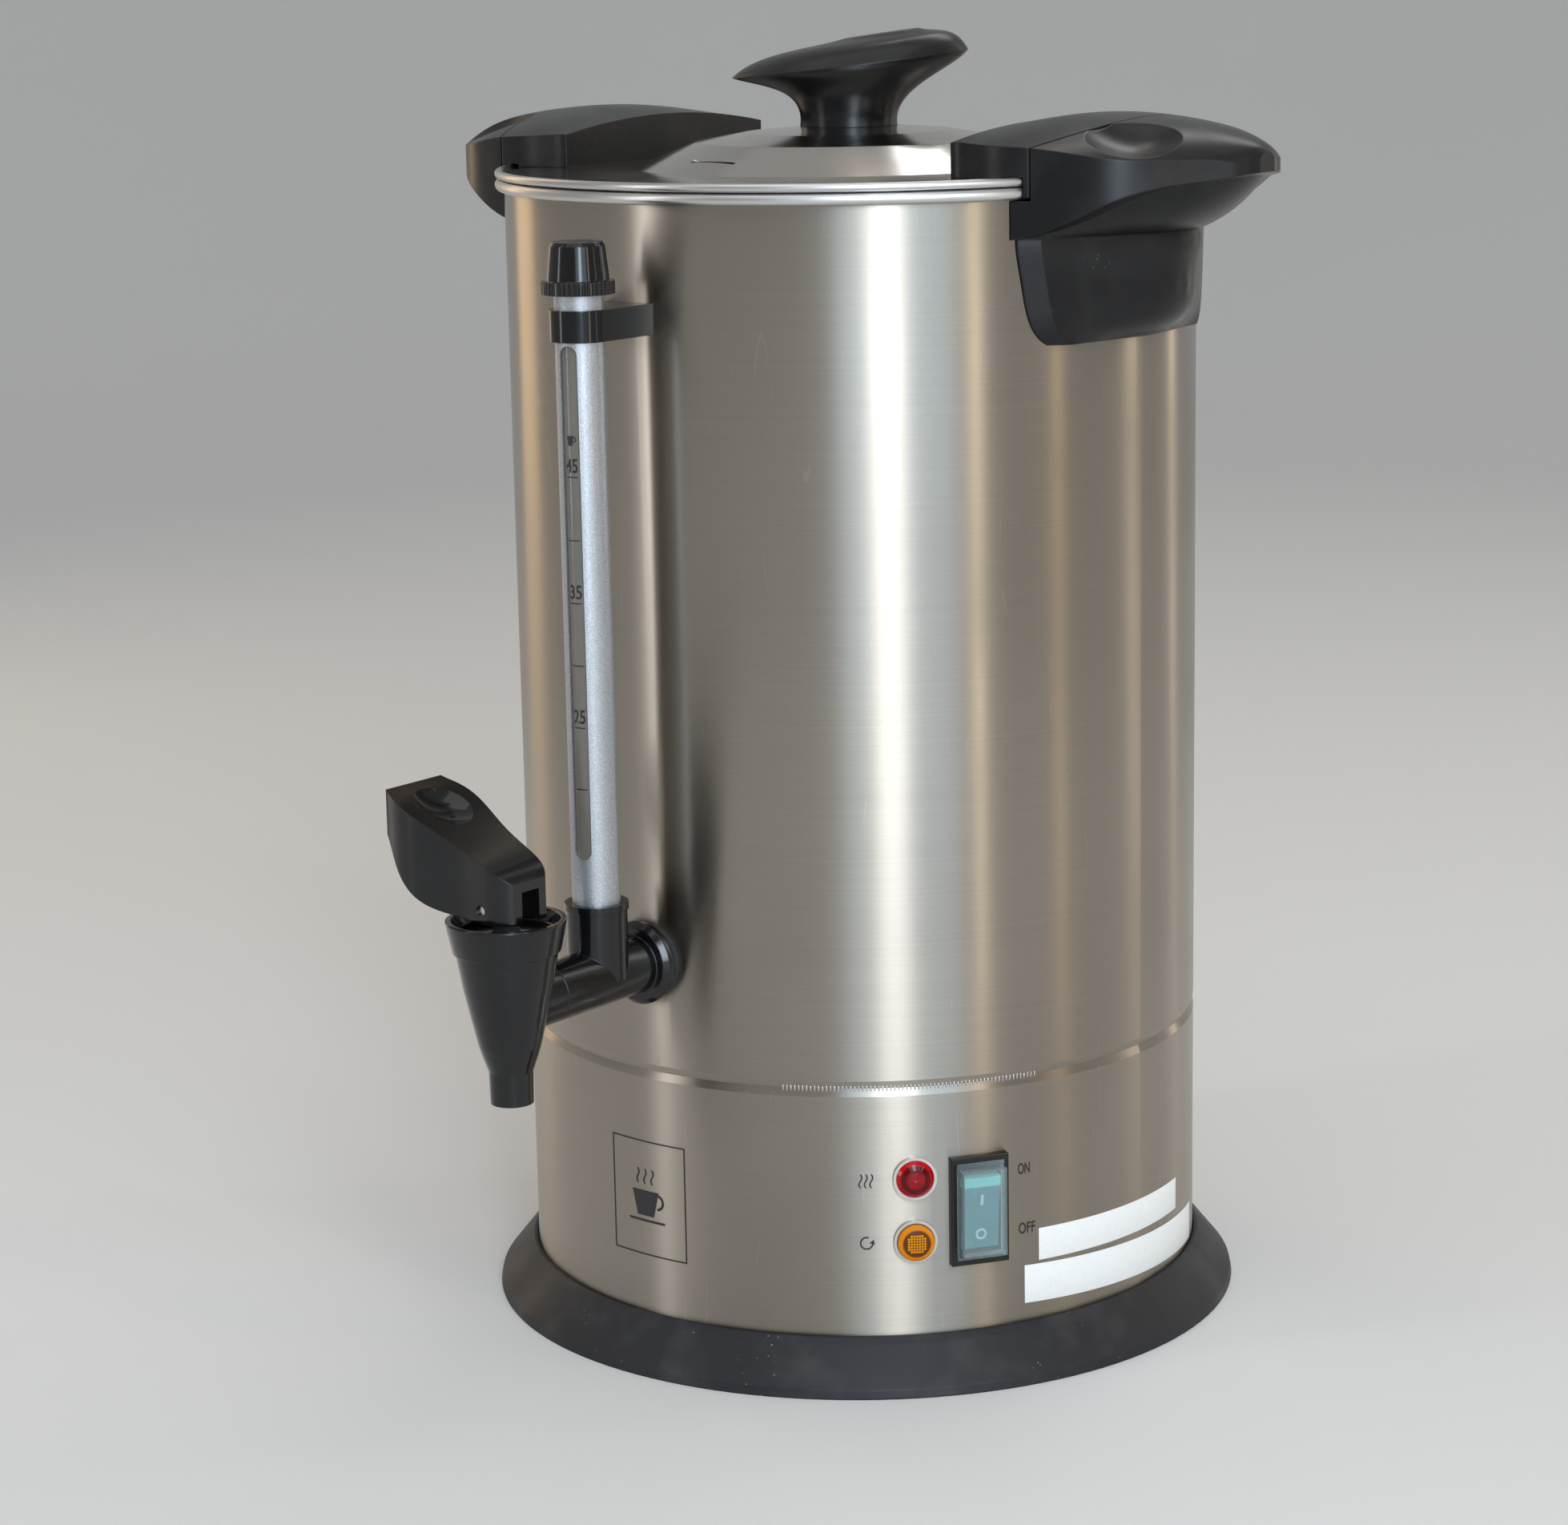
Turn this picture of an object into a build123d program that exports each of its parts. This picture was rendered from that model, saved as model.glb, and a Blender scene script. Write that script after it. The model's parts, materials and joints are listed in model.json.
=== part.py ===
from build123d import *
import os
from math import acos, atan2, cos, hypot, radians, sin, sqrt, tan

os.makedirs("parts", exist_ok=True)

# Coffee urn that heats and percolates: steel tank on a heated base, lid, lever tap and level gauge.
# Millimetres. The urn stands on z = 0 about the Z axis, tap toward -Y, handles on +X and -X.
# Azimuths are in degrees from -Y toward +X.

# Clearances
AIR = 0.3       # between pieces that move past each other
RUN = 0.08      # running fit of a pin, stem or screw cap, on the radius
SLIP = 0.1      # hole over a fixed screw or shank, on the radius

# Tank and base shell
BODY_R = 112.0
SHEET = 1.0
SEAM_Z = 97.3
SEAM_DEPTH = 1.0
SEAM_HALF = 2.5
RIM_Z = 371.8
RIM_BEAD_R = 1.9
FLOOR_RISE = 2.9
FLANGE_H = 7.0
WELL_R = 33.0
WELL_DROP = 13.2

# Base
FOOT_H = 3.0
FOOT_R = 8.0
FOOT_INSET = 24.0
FOOT_NECK_R = 3.0
FOOT_BARB = 1.5
PLATE_T = 1.0
RING_FLANGE_T = 3.0
RING_TOP = 16.5
BASE_SCREW_R = 2.0
BASE_SCREW_INSET = 9.5

# Heating
BOIL_ROD_R = 4.0
BOIL_RISE = 6.5
WARM_ROD_R = 3.5
WARM_INSET = 42.0
PIN_R = 1.5
PIN_L = 10.0
BOIL_PIN_DROP = 25.0
WARM_PIN_DROP = 19.0
WIRE_R = 1.2
WIRE_DROP = 20.0
WIRE_BEND = 6.0
BLOCK_GAP = 5.5
BLOCK_SIZE = (44.0, 16.0, 18.0)
THERMOSTAT_R = 9.0
CUTOUT_R = 7.0

# Control panel on the base shell
PANEL_AZ = 45.0
LAMP_Z = 68.1
RESET_Z = 47.5
PANEL_STEM_R = 5.0
LENS_LIP = 0.95
COLLAR_WALL = 0.85
COLLAR_H = 1.8
LAMP_DEPTH = 18.0
BUTTON_WALL = 1.5
BUTTON_TRAVEL = 1.0
BUTTON_STEM_L = 12.0
HOUSING_DEPTH = 21.0
SWITCH_AZ = 55.5
SWITCH_Z = 56.3
ROCKER = (12.0, 24.0)
ROCKER_TILT = 6.0
ROCKER_PIVOT = -2.0
ROCKER_PROUD = 1.15
ROCKER_DEPTH = 3.0
ROCKER_PIN_R = 1.0
SWITCH_WALL = (1.0, 2.4)
SWITCH_DEPTH = 22.0
SWITCH_BLADE = 6.0
BEZEL_MARGIN = (2.3, 2.5)
BEZEL_H = 2.4
BOOT_WALL = 0.8
BOOT_MARGIN = (1.2, 1.6)
GLAND_Z = 38.0
GLAND_R = 6.9
GLAND_BORE_R = 3.6

# Handles and lid wings: sections along X as (reach past the wall, half width, low, edge, crest)
# with heights counted from the rim
GRIP = [
    (-35.2, 51.3, -13.8, 14.6, 19.2),
    (-25.0, 52.3, -13.8, 14.3, 20.8),
    (-13.0, 52.5, -13.8, 13.8, 21.8),
    (-2.0, 50.0, -11.3, 13.0, 21.5),
    (12.0, 45.0, -4.8, 10.8, 20.2),
    (25.0, 34.0, 0.8, 9.6, 18.2),
    (36.0, 19.5, 2.8, 9.2, 15.4),
    (44.5, 4.0, 4.6, 8.8, 11.0),
]
# Lobe and neck: horizontal sections as (height from the rim, nose reach, nose radius, half width, side)
LOBE = [
    (-46.0, 3.2, 24.0, 36.0, 3.5),
    (-44.2, 7.0, 24.5, 38.5, 3.5),
    (-40.8, 11.5, 25.0, 41.0, 3.5),
    (-35.8, 14.2, 25.5, 42.8, 3.5),
    (-21.8, 16.0, 25.5, 45.2, 3.5),
    (-13.8, 16.4, 25.5, 46.0, 3.5),
]
NECK = [
    (-13.8, 16.4, 25.5, 46.0, 3.5),
    (-8.8, 26.8, 26.0, 45.5, 7.5),
    (-1.8, 35.6, 26.0, 44.8, 12.0),
    (4.2, 40.2, 26.0, 43.0, 17.0),
]
# Hollows in the handle's flanks: reach past the wall, distance from its middle, height from the rim, lean
SCOOP_REACH = 21.0
SCOOP_Y = 26.0
SCOOP_RISE = 14.5
SCOOP_LEAN = 18.0
SCOOP_R = 30.0
SCOOP_DEPTH = 3.0
WING_REACH = 4.8
HANDLE_GAP = 0.6
HANDLE_SCREW_R = 2.5
HANDLE_SCREW_BITE = 10.5
HANDLE_SCREW_DROPS = (35.8, 17.8)
WASHER_T = 1.4
WASHER_LIP = 4.0

# Lid
LID_SHEET = 0.8
LID_BEAD_R = 1.3
LID_BEAD_REACH = 1.6
CONE_OUT_R = 70.0
CONE_IN_R = 50.0
CONE_RISE = 8.0
DOME_RISE = 12.2
DOME_FLAT_R = 16.0
LID_SKIRT_GAP = 0.6
LID_SKIRT_T = 0.9
LID_SKIRT_H = 9.0
SLOT_AZ = -8.0
SLOT_LENGTH = 20.0
SLOT_WIDTH = 2.2
WING_SCREW_INSET = 20.0
WING_SCREW_Y = 30.0
WING_SCREW_R = 1.9
WING_SCREW_BITE = 8.0
WING_HEAD_R = 4.0
WING_HEAD_H = 2.6
KNOB_TURN = 37.5
KNOB_TILT = 5.9
KNOB_SCREW_R = 2.5
KNOB_SCREW_BITE = 12.0

# Percolator
PUMP_R = 6.0
PUMP_WALL = 1.0
PUMP_DROP = 9.8
BELL_GAP = 3.0
BASKET_R = 85.0
BASKET_WALL = 0.8
BASKET_DROP = 116.8
BASKET_H = 90.0
DRAIN_R = 1.5

# Tap and level gauge
TAP_Z = 134.0
TAP_REACH = 65.0
TAP_NECK_L = 17.0
BORE_R = 5.2
SHANK_WALL = 2.8
BARREL_WALL = 4.05
FLANGE_LIP = 4.05
FLANGE_T = 4.8
GASKET_T = 1.6
NUT_T = 6.0
GAUGE_REACH = 23.4
TEE_H = 24.0
TEE_RIM = 0.5
TEE_RIM_H = 2.2
SOCKET_DEPTH = 8.0
SEAL_T = 3.0
GLASS_R = 6.6
GLASS_WALL = 1.6
GUARD_GAP = 0.15
GUARD_WALL = 0.75
GUARD_SLOT = 5.9
GUARD_SLOT_AZ = 10.0
GUARD_SLOT_RISE = 14.5
GUARD_SLOT_DROP = 1.0
BRACKET_DROP = 40.8
BRACKET_H = 9.5
BRACKET_WALL = 1.5
CAP_NECK_H = 10.5
CAP_WALL = 0.92
CAP_TAPER = 1.1
CAP_GAP = 4.5
CAP_H = 15.5
CAP_RING_H = 4.0
CAP_RING_LIP = 1.5
LINER_T = 2.2
KNURL_R = 0.5
KNURLS = 44
SPOUT_DROP = 30.0
SPOUT_BORE_R = 4.2
SPOUT_WALL = 2.4
SEAT_DROP = 9.0
SPOUT_TAPER = 0.2
SPOUT_L = 10.0
HIP_LIP = 1.8
HIP_H = 4.5
WAIST_LIP = 2.9
WAIST_DROP = 3.0
CHAMBER_LIP = 5.9
CHAMBER_WALL = 3.1
CONE_H = 6.0
CONE_WALL = 2.1
THROAT_H = 15.0
THROAT_WALL = 1.1
SEAT_LIP = 5.0
BONNET_RISE = 17.5
BONNET_H = 10.0
BONNET_PLUG = 5.5
BONNET_RECESS = 4.0
BONNET_FOOT_LIP = 3.9
BONNET_LIP = 6.0
BONNET_RIM = 1.9
CUP_H = 7.2
STEM_R = 4.0
STEM_FOOT_LIP = 1.0
SPRING_WIRE_R = 0.45
PIVOT_RISE = 4.5
LEVER_PIN_R = 1.5
LEVER_GAP = 0.4
# Lever sections along X as (x, half width, low, high), heights counted from its pin
LEVER = [
    (10.3, 6.8, LEVER_GAP - PIVOT_RISE, 8.3),
    (1.0, 11.0, LEVER_GAP - PIVOT_RISE, 14.3),
    (-12.0, 12.5, LEVER_GAP - PIVOT_RISE + 2.0, 21.0),
    (-23.0, 15.0, 2.0, 26.9),
    (-31.0, 14.2, 10.5, 30.8),
    (-36.0, 12.2, 19.0, 33.0),
]
DIMPLE_X = -24.0
DIMPLE_R = 16.0
DIMPLE_DEPTH = 2.8

# Derived sizes
TANK_IN = BODY_R - SHEET
PLATE_Z = FOOT_H
FLANGE_Z = PLATE_Z + PLATE_T
SKIRT_Z = FLANGE_Z + RING_FLANGE_T
FOOT_PCR = BODY_R - FOOT_INSET
BASE_SCREW_PCR = BODY_R - BASE_SCREW_INSET
FLOOR_Z = SEAM_Z + FLOOR_RISE
WELL_Z = FLOOR_Z - WELL_DROP
BLOCK_Y = FOOT_PCR - FOOT_NECK_R - FOOT_BARB - BLOCK_GAP - BLOCK_SIZE[1] / 2
WARM_RING_R = BODY_R - WARM_INSET
THERMOSTAT_PCR = WARM_RING_R + WARM_ROD_R + THERMOSTAT_R + 2.5
LENS_R = PANEL_STEM_R + LENS_LIP
COLLAR_BORE_R = LENS_R + SLIP
COLLAR_R = COLLAR_BORE_R + COLLAR_WALL
BUTTON_R = COLLAR_R - COLLAR_WALL + 0.05 - AIR
BUTTON_STEM_R = PANEL_STEM_R - BUTTON_WALL
WING_R = BODY_R + WING_REACH
WASHER_R = HANDLE_SCREW_R + WASHER_LIP
LID_BEAD_Z = RIM_Z + RIM_BEAD_R + AIR + LID_BEAD_R
LID_Z = LID_BEAD_Z + 0.5
LID_TOP = LID_Z + DOME_RISE
LID_SKIRT_R = TANK_IN - LID_SKIRT_GAP
PUMP_TOP = RIM_Z - PUMP_DROP
BASKET_Z = RIM_Z - BASKET_DROP
BELL_R = WELL_R - BELL_GAP
TAP_R = BODY_R + TAP_REACH
TAP_JOINT_R = TAP_R - TAP_NECK_L
SHANK_R = BORE_R + SHANK_WALL
BARREL_R = BORE_R + BARREL_WALL
FLANGE_R = BARREL_R + FLANGE_LIP
GAUGE_R = BODY_R + GAUGE_REACH
GLASS_BORE_R = GLASS_R - GLASS_WALL
GUARD_BORE_R = GLASS_R + GUARD_GAP
GUARD_R = GUARD_BORE_R + GUARD_WALL
SOCKET_R = GUARD_R + 2 * SLIP
TEE_R = SOCKET_R + 1.8
BRACKET_R = GUARD_R + SLIP + BRACKET_WALL
BRACKET_Z = RIM_Z - BRACKET_DROP
NECK_TOP = BRACKET_Z + BRACKET_H + CAP_NECK_H
GLASS_TOP = NECK_TOP + 1.0
CAP_BORE_R = GUARD_R + RUN
CAP_R = CAP_BORE_R + CAP_WALL
CAP_RING_R = CAP_R + CAP_TAPER + CAP_RING_LIP
CAP_Z = BRACKET_Z + BRACKET_H + CAP_GAP
SPOUT_Z = TAP_Z - SPOUT_DROP
SPOUT_R = SPOUT_BORE_R + SPOUT_WALL
SEAT_Z = TAP_Z - SEAT_DROP
BONNET_Z = TAP_Z + BONNET_RISE
BONNET_TOP = BONNET_Z + BONNET_H
BONNET_LOW = BONNET_Z - BONNET_PLUG
PIVOT_Z = BONNET_TOP + PIVOT_RISE
CUP_LOW = SEAT_Z + AIR
CUP_TOP = CUP_LOW + CUP_H
STEM_FOOT_R = STEM_R + STEM_FOOT_LIP
EYE_HALF = STEM_R - 0.5

BASE_ALIGN = (Align.CENTER, Align.CENTER, Align.MIN)


def rod(radius, low, high, plane=Plane.XY):
    """Cylinder on a plane's z axis between two heights."""
    return plane * Pos(0, 0, low) * Cylinder(radius, high - low, align=BASE_ALIGN)


def tube(outer, inner, low, high, plane=Plane.XY):
    """Plain sleeve on a plane's z axis."""
    return rod(outer, low, high, plane) - rod(inner, low - 1, high + 1, plane)


def brick(size_x, size_y, low, high, plane=Plane.XY):
    """Box centred on a plane's z axis between two heights."""
    return plane * Pos(0, 0, low) * Box(size_x, size_y, high - low, align=BASE_ALIGN)


def turned(profile, plane=Plane.XY, soft=0.0):
    """Revolve a closed (radius, height) outline, with its corners off the axis rounded by soft."""
    outline = Polyline(*[(radius, 0, height) for radius, height in profile], close=True)
    face = make_face(outline)
    if soft:
        face = fillet([corner for corner in face.vertices() if corner.X > 0.01], soft)
    return plane * revolve(face, Axis.Z)


def on_wall(azimuth, height, radius=BODY_R):
    """Plane on the body wall: x along the wall, y up, z outward."""
    angle = radians(azimuth)
    outward = (sin(angle), -cos(angle), 0)
    spot = (radius * sin(angle), -radius * cos(angle), height)
    return Plane(origin=spot, x_dir=(cos(angle), sin(angle), 0), z_dir=outward)


def upright(x, y):
    """Vertical axis through a point in plan."""
    return Plane(origin=(x, y, 0))


def coil(radius, wire_r, low, high, turns, plane=Plane.XY):
    """Round-wire spring whose wire lies between two heights."""
    rise = high - low - 2 * wire_r
    path = Helix(rise / turns, rise, radius)
    start = Plane(origin=path @ 0, z_dir=path % 0)
    return plane * Pos(0, 0, low + wire_r) * sweep(start * Circle(wire_r), path=path, is_frenet=True)


def wire_run(points, bend):
    """Round wire along points with bent corners."""
    path = FilletPolyline(*points, radius=bend)
    start = Plane(origin=path @ 0, z_dir=path % 0)
    return sweep(start * Circle(WIRE_R), path=path)


def save(name, shape):
    shape.label = name
    export_step(shape, f"parts/{name}.step")


# Room that the rocker needs over its tilt sets the switch's cavity, body, bezel and boot
half_rocker = ROCKER[1] / 2
tilt = radians(ROCKER_TILT)
rocker_top = BEZEL_H - ROCKER_PIVOT + ROCKER_PROUD
cavity_x = ROCKER[0] + 2 * AIR
cavity_y = 2 * (half_rocker * cos(tilt) + rocker_top * sin(tilt) + 0.4)
cavity_low = ROCKER_PIVOT - half_rocker * sin(tilt) - ROCKER_DEPTH * cos(tilt) - 1.3
boot_ceiling = ROCKER_PIVOT + half_rocker * sin(tilt) + rocker_top * cos(tilt) + 1.2
switch_x = cavity_x + 2 * SWITCH_WALL[0]
switch_y = cavity_y + 2 * SWITCH_WALL[1]
bezel_x = switch_x + 2 * BEZEL_MARGIN[0]
bezel_y = switch_y + 2 * BEZEL_MARGIN[1]
boot_x = cavity_x + 2 * BOOT_MARGIN[0]
boot_y = cavity_y + 2 * BOOT_MARGIN[1]

outside = rod(BODY_R, 0, RIM_Z + 60)
inside = rod(TANK_IN, 0, RIM_Z + 60)
panel_lamp = on_wall(PANEL_AZ, LAMP_Z)
panel_reset = on_wall(PANEL_AZ, RESET_Z)
panel_switch = on_wall(SWITCH_AZ, SWITCH_Z)
panel_gland = on_wall(180.0, GLAND_Z)
tap_line = on_wall(0.0, TAP_Z, 0.0)
gauge_axis = upright(0, -GAUGE_R)
spout_axis = upright(0, -TAP_R)

# Base: plate, feet, ring, screws and shell
feet_at = [upright(FOOT_PCR * cos(radians(a)), FOOT_PCR * sin(radians(a))) for a in (0, 90, 180, 270)]
screws_at = [
    upright(BASE_SCREW_PCR * cos(radians(a)), BASE_SCREW_PCR * sin(radians(a))) for a in (45, 135, 225, 315)
]
foot_outline = [
    (0, 0), (FOOT_R - 0.8, 0), (FOOT_R, 0.8), (FOOT_R, PLATE_Z), (FOOT_NECK_R, PLATE_Z),
    (FOOT_NECK_R, FLANGE_Z), (FOOT_NECK_R + FOOT_BARB, FLANGE_Z), (FOOT_NECK_R + 0.8, FLANGE_Z + 1.8),
    (0, FLANGE_Z + 1.8),
]
save("rubber_feet", Part() + [turned(foot_outline, place) for place in feet_at])

bottom_plate = rod(BODY_R - 4, PLATE_Z, FLANGE_Z)
bottom_plate -= [rod(FOOT_NECK_R, PLATE_Z - 1, FLANGE_Z + 1, place) for place in feet_at]
bottom_plate -= [rod(BASE_SCREW_R + SLIP, PLATE_Z - 1, FLANGE_Z + 1, place) for place in screws_at]
vents = [upright(30 * cos(radians(a)), 30 * sin(radians(a))) for a in range(0, 360, 45)]
bottom_plate -= [rod(3.0, PLATE_Z - 1, FLANGE_Z + 1, place) for place in vents]
save("bottom_plate", bottom_plate)

screw_outline = [
    (0, PLATE_Z - 1.8), (2.8, PLATE_Z - 1.8), (3.6, PLATE_Z - 1.0), (3.6, PLATE_Z),
    (BASE_SCREW_R, PLATE_Z), (BASE_SCREW_R, SKIRT_Z), (0, SKIRT_Z),
]
save("bottom_screws", Part() + [turned(screw_outline, place) for place in screws_at])

base_ring = turned(
    [
        (BODY_R - 15, FLANGE_Z), (BODY_R - 15, SKIRT_Z), (BODY_R + AIR, SKIRT_Z), (BODY_R + AIR, RING_TOP),
        (BODY_R + 1.6, RING_TOP), (BODY_R + 3.4, RING_TOP - 1.9), (BODY_R + 12.8, FOOT_H),
        (BODY_R + 13.4, 0), (BODY_R + 9.9, 0), (BODY_R + 9.2, FOOT_H - 0.6),
        (BODY_R + 3.2, SKIRT_Z + 2.8), (BODY_R + 3.2, FLANGE_Z),
    ],
    soft=0.25,
)
base_ring -= [rod(BASE_SCREW_R, FLANGE_Z - 1, SKIRT_Z + 1, place) for place in screws_at]
save("base_ring", base_ring)

base_skirt = turned([
    (TANK_IN, SKIRT_Z), (BODY_R, SKIRT_Z), (BODY_R, SEAM_Z - SEAM_HALF), (BODY_R - SEAM_DEPTH, SEAM_Z),
    (TANK_IN - SEAM_DEPTH, SEAM_Z), (TANK_IN, SEAM_Z - SEAM_HALF - 0.5),
])
base_skirt -= rod(PANEL_STEM_R + SLIP, -10, 10, panel_lamp)
base_skirt -= rod(PANEL_STEM_R + SLIP, -10, 10, panel_reset)
base_skirt -= brick(switch_x + 2 * SLIP, switch_y + 2 * SLIP, -10, 10, panel_switch)
base_skirt -= rod(GLAND_R + SLIP, -10, 10, panel_gland)
save("base_skirt", base_skirt)

# Tank
handle_spots = [(side, RIM_Z - drop) for side in (1, -1) for drop in HANDLE_SCREW_DROPS]
handle_lines = [on_wall(90.0 * side, height, 0.0) for side, height in handle_spots]
bracket_line = on_wall(0.0, BRACKET_Z + BRACKET_H / 2, 0.0)
tank_shell = turned([
    (TANK_IN - SEAM_DEPTH, SEAM_Z), (BODY_R - SEAM_DEPTH, SEAM_Z), (BODY_R, SEAM_Z + SEAM_HALF),
    (BODY_R, RIM_Z), (TANK_IN, RIM_Z), (TANK_IN, FLOOR_Z),
])
tank_shell += Pos(0, 0, RIM_Z) * Torus(BODY_R + 1.0, RIM_BEAD_R)
tank_shell -= rod(SHANK_R + SLIP, TANK_IN - 5, BODY_R + 5, tap_line)
tank_shell -= [rod(HANDLE_SCREW_R + SLIP, TANK_IN - 5, BODY_R + 5, line) for line in handle_lines]
tank_shell -= rod(BASE_SCREW_R + SLIP, TANK_IN - 5, BODY_R + 5, bracket_line)
save("tank_shell", tank_shell)

tank_floor = turned([
    (0, WELL_Z), (WELL_R + SHEET, WELL_Z), (WELL_R + SHEET, FLOOR_Z), (TANK_IN, FLOOR_Z),
    (TANK_IN, FLOOR_Z + FLANGE_H), (TANK_IN - SHEET, FLOOR_Z + FLANGE_H), (TANK_IN - SHEET, FLOOR_Z + SHEET),
    (WELL_R, FLOOR_Z + SHEET), (WELL_R, WELL_Z + SHEET), (0, WELL_Z + SHEET),
])
save("tank_floor", tank_floor)


# Heaters and electrics inside the base
def leg_spot(ring_r, gap, side):
    """Plan position of a heater leg, beside the gap at the back of its ring."""
    angle = radians(90 + side * (gap / 2 + 3))
    return ring_r * cos(angle), ring_r * sin(angle)


def ring_heater(ring_r, rod_r, height, gap, pin_low):
    """Open ring of heater rod with two legs and their terminal pins at the back."""
    face = Plane.XZ * Pos(ring_r, height) * Circle(rod_r)
    heater = Rot(0, 0, 90 + gap / 2) * revolve(face, Axis.Z, 360 - gap)
    leg_low = pin_low + PIN_L
    for side in (1, -1):
        spot = upright(*leg_spot(ring_r, gap, side))
        heater += rod(rod_r * 0.8, leg_low, height, spot)
        heater += rod(PIN_R, pin_low, leg_low + PIN_R, spot)
    return heater


BOIL_RING_R = WELL_R + SHEET + BOIL_ROD_R
BOIL_GAP = 34.0
WARM_GAP = 18.0
BOIL_PIN_Z = WELL_Z - BOIL_PIN_DROP
WARM_PIN_Z = WELL_Z - WARM_PIN_DROP
save("boil_heater", ring_heater(BOIL_RING_R, BOIL_ROD_R, WELL_Z + BOIL_RISE, BOIL_GAP, BOIL_PIN_Z))
save("warm_heater", ring_heater(WARM_RING_R, WARM_ROD_R, FLOOR_Z - WARM_ROD_R, WARM_GAP, WARM_PIN_Z))

thermostat_at = upright(-THERMOSTAT_PCR, 0)
thermostat = rod(THERMOSTAT_R, FLOOR_Z - 9, FLOOR_Z, thermostat_at)
thermostat += [brick(0.8, 5.0, FLOOR_Z - 17, FLOOR_Z - 8, thermostat_at * Pos(x, 0, 0)) for x in (-5, 5)]
save("thermostat", thermostat)

cutout_at = upright(THERMOSTAT_PCR * 0.7071, -THERMOSTAT_PCR * 0.7071)
thermal_cutout = rod(CUTOUT_R, FLOOR_Z - 6.5, FLOOR_Z, cutout_at)
thermal_cutout += [brick(0.8, 4.0, FLOOR_Z - 13, FLOOR_Z - 6, cutout_at * Pos(x, 0, 0)) for x in (-4, 4)]
save("thermal_cutout", thermal_cutout)

block_front = BLOCK_Y - BLOCK_SIZE[1] / 2
block_top = FLANGE_Z + BLOCK_SIZE[2]
terminal_block = brick(*BLOCK_SIZE[:2], FLANGE_Z, block_top, upright(0, BLOCK_Y))
save("terminal_block", terminal_block)

boil_right = leg_spot(BOIL_RING_R, BOIL_GAP, -1)
warm_right = leg_spot(WARM_RING_R, WARM_GAP, -1)
wire_low = BOIL_PIN_Z - WIRE_DROP
wires = []
for side in (1, -1):
    wires.append(rod(WIRE_R, block_top, WARM_PIN_Z, upright(side * warm_right[0], warm_right[1])))
    leg = (side * boil_right[0], boil_right[1])
    land = (side * 6.0, BLOCK_Y)
    wires.append(wire_run(
        [(*leg, BOIL_PIN_Z), (*leg, wire_low), (*land, wire_low), (*land, block_top)], WIRE_BEND,
    ))


def panel_wire(plane, depth, offset, entry_x, entry_z):
    """Wire from a terminal behind the panel to the front of the terminal block."""
    tip = plane * Pos(*offset, -depth)
    back = plane * Pos(*offset, -depth - 14)
    start = tuple(tip.position)
    turn = tuple(back.position)
    near = (entry_x, block_front - 34, entry_z)
    return wire_run([start, turn, near, (entry_x, block_front, entry_z)], 7.0)


wires.append(panel_wire(panel_switch, SWITCH_DEPTH + SWITCH_BLADE, (0, 8), 17.0, FLANGE_Z + 14))
wires.append(panel_wire(panel_switch, SWITCH_DEPTH + SWITCH_BLADE, (0, -8), 11.0, FLANGE_Z + 5))
wires.append(panel_wire(panel_lamp, LAMP_DEPTH, (-2, 0), -11.0, FLANGE_Z + 14))
wires.append(panel_wire(panel_lamp, LAMP_DEPTH, (2, 0), -4.0, FLANGE_Z + 14))
save("wiring", Part() + wires)

cord_gland = rod(GLAND_R + 3.1, -2, 3, panel_gland) - outside
cord_gland += rod(GLAND_R, -14, 3, panel_gland)
cord_gland -= rod(GLAND_BORE_R, -20, 10, panel_gland)
save("cord_gland", cord_gland)
gland_nut = (rod(GLAND_R + 3.1, -8, 0, panel_gland) & inside) - rod(GLAND_R, -20, 5, panel_gland)
save("gland_nut", gland_nut)

# Lamp
save("lamp_collar", tube(COLLAR_R, COLLAR_BORE_R, -1, COLLAR_H, panel_lamp) - outside)
lamp_lens = turned(
    [
        (0, -2), (PANEL_STEM_R, -2), (PANEL_STEM_R, 0.4), (LENS_R, 0.4), (LENS_R, COLLAR_H),
        (LENS_R - 0.9, COLLAR_H + 1.0), (LENS_R - 2.6, COLLAR_H + 1.75), (0, COLLAR_H + 2.1),
    ],
    panel_lamp,
)
save("lamp_lens", lamp_lens)
lamp_body = rod(PANEL_STEM_R, -LAMP_DEPTH + 2, -2, panel_lamp)
lamp_body += [rod(WIRE_R, -LAMP_DEPTH, -LAMP_DEPTH + 3, panel_lamp * Pos(x, 0, 0)) for x in (-2, 2)]
save("lamp_body", lamp_body)
save("lamp_clip", (rod(8.0, -4, 0, panel_lamp) & inside) - rod(PANEL_STEM_R, -10, 5, panel_lamp))

# Reset button
HOUSING_LOW = -HOUSING_DEPTH
reset_housing = turned(
    [
        (0, HOUSING_LOW), (PANEL_STEM_R, HOUSING_LOW), (PANEL_STEM_R, -0.6), (COLLAR_R, -0.6),
        (COLLAR_R, COLLAR_H), (BUTTON_R + AIR, COLLAR_H), (BUTTON_R + AIR, COLLAR_H - BUTTON_TRAVEL - AIR),
        (BUTTON_STEM_R + RUN, COLLAR_H - BUTTON_TRAVEL - AIR), (BUTTON_STEM_R + RUN, HOUSING_LOW + 1),
        (0, HOUSING_LOW + 1),
    ],
    panel_reset,
)
reset_housing -= tube(COLLAR_R + 1, PANEL_STEM_R, -1, BODY_R + 1, panel_reset) & outside
save("reset_housing", reset_housing)
STEM_LOW = -BUTTON_STEM_L
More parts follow.
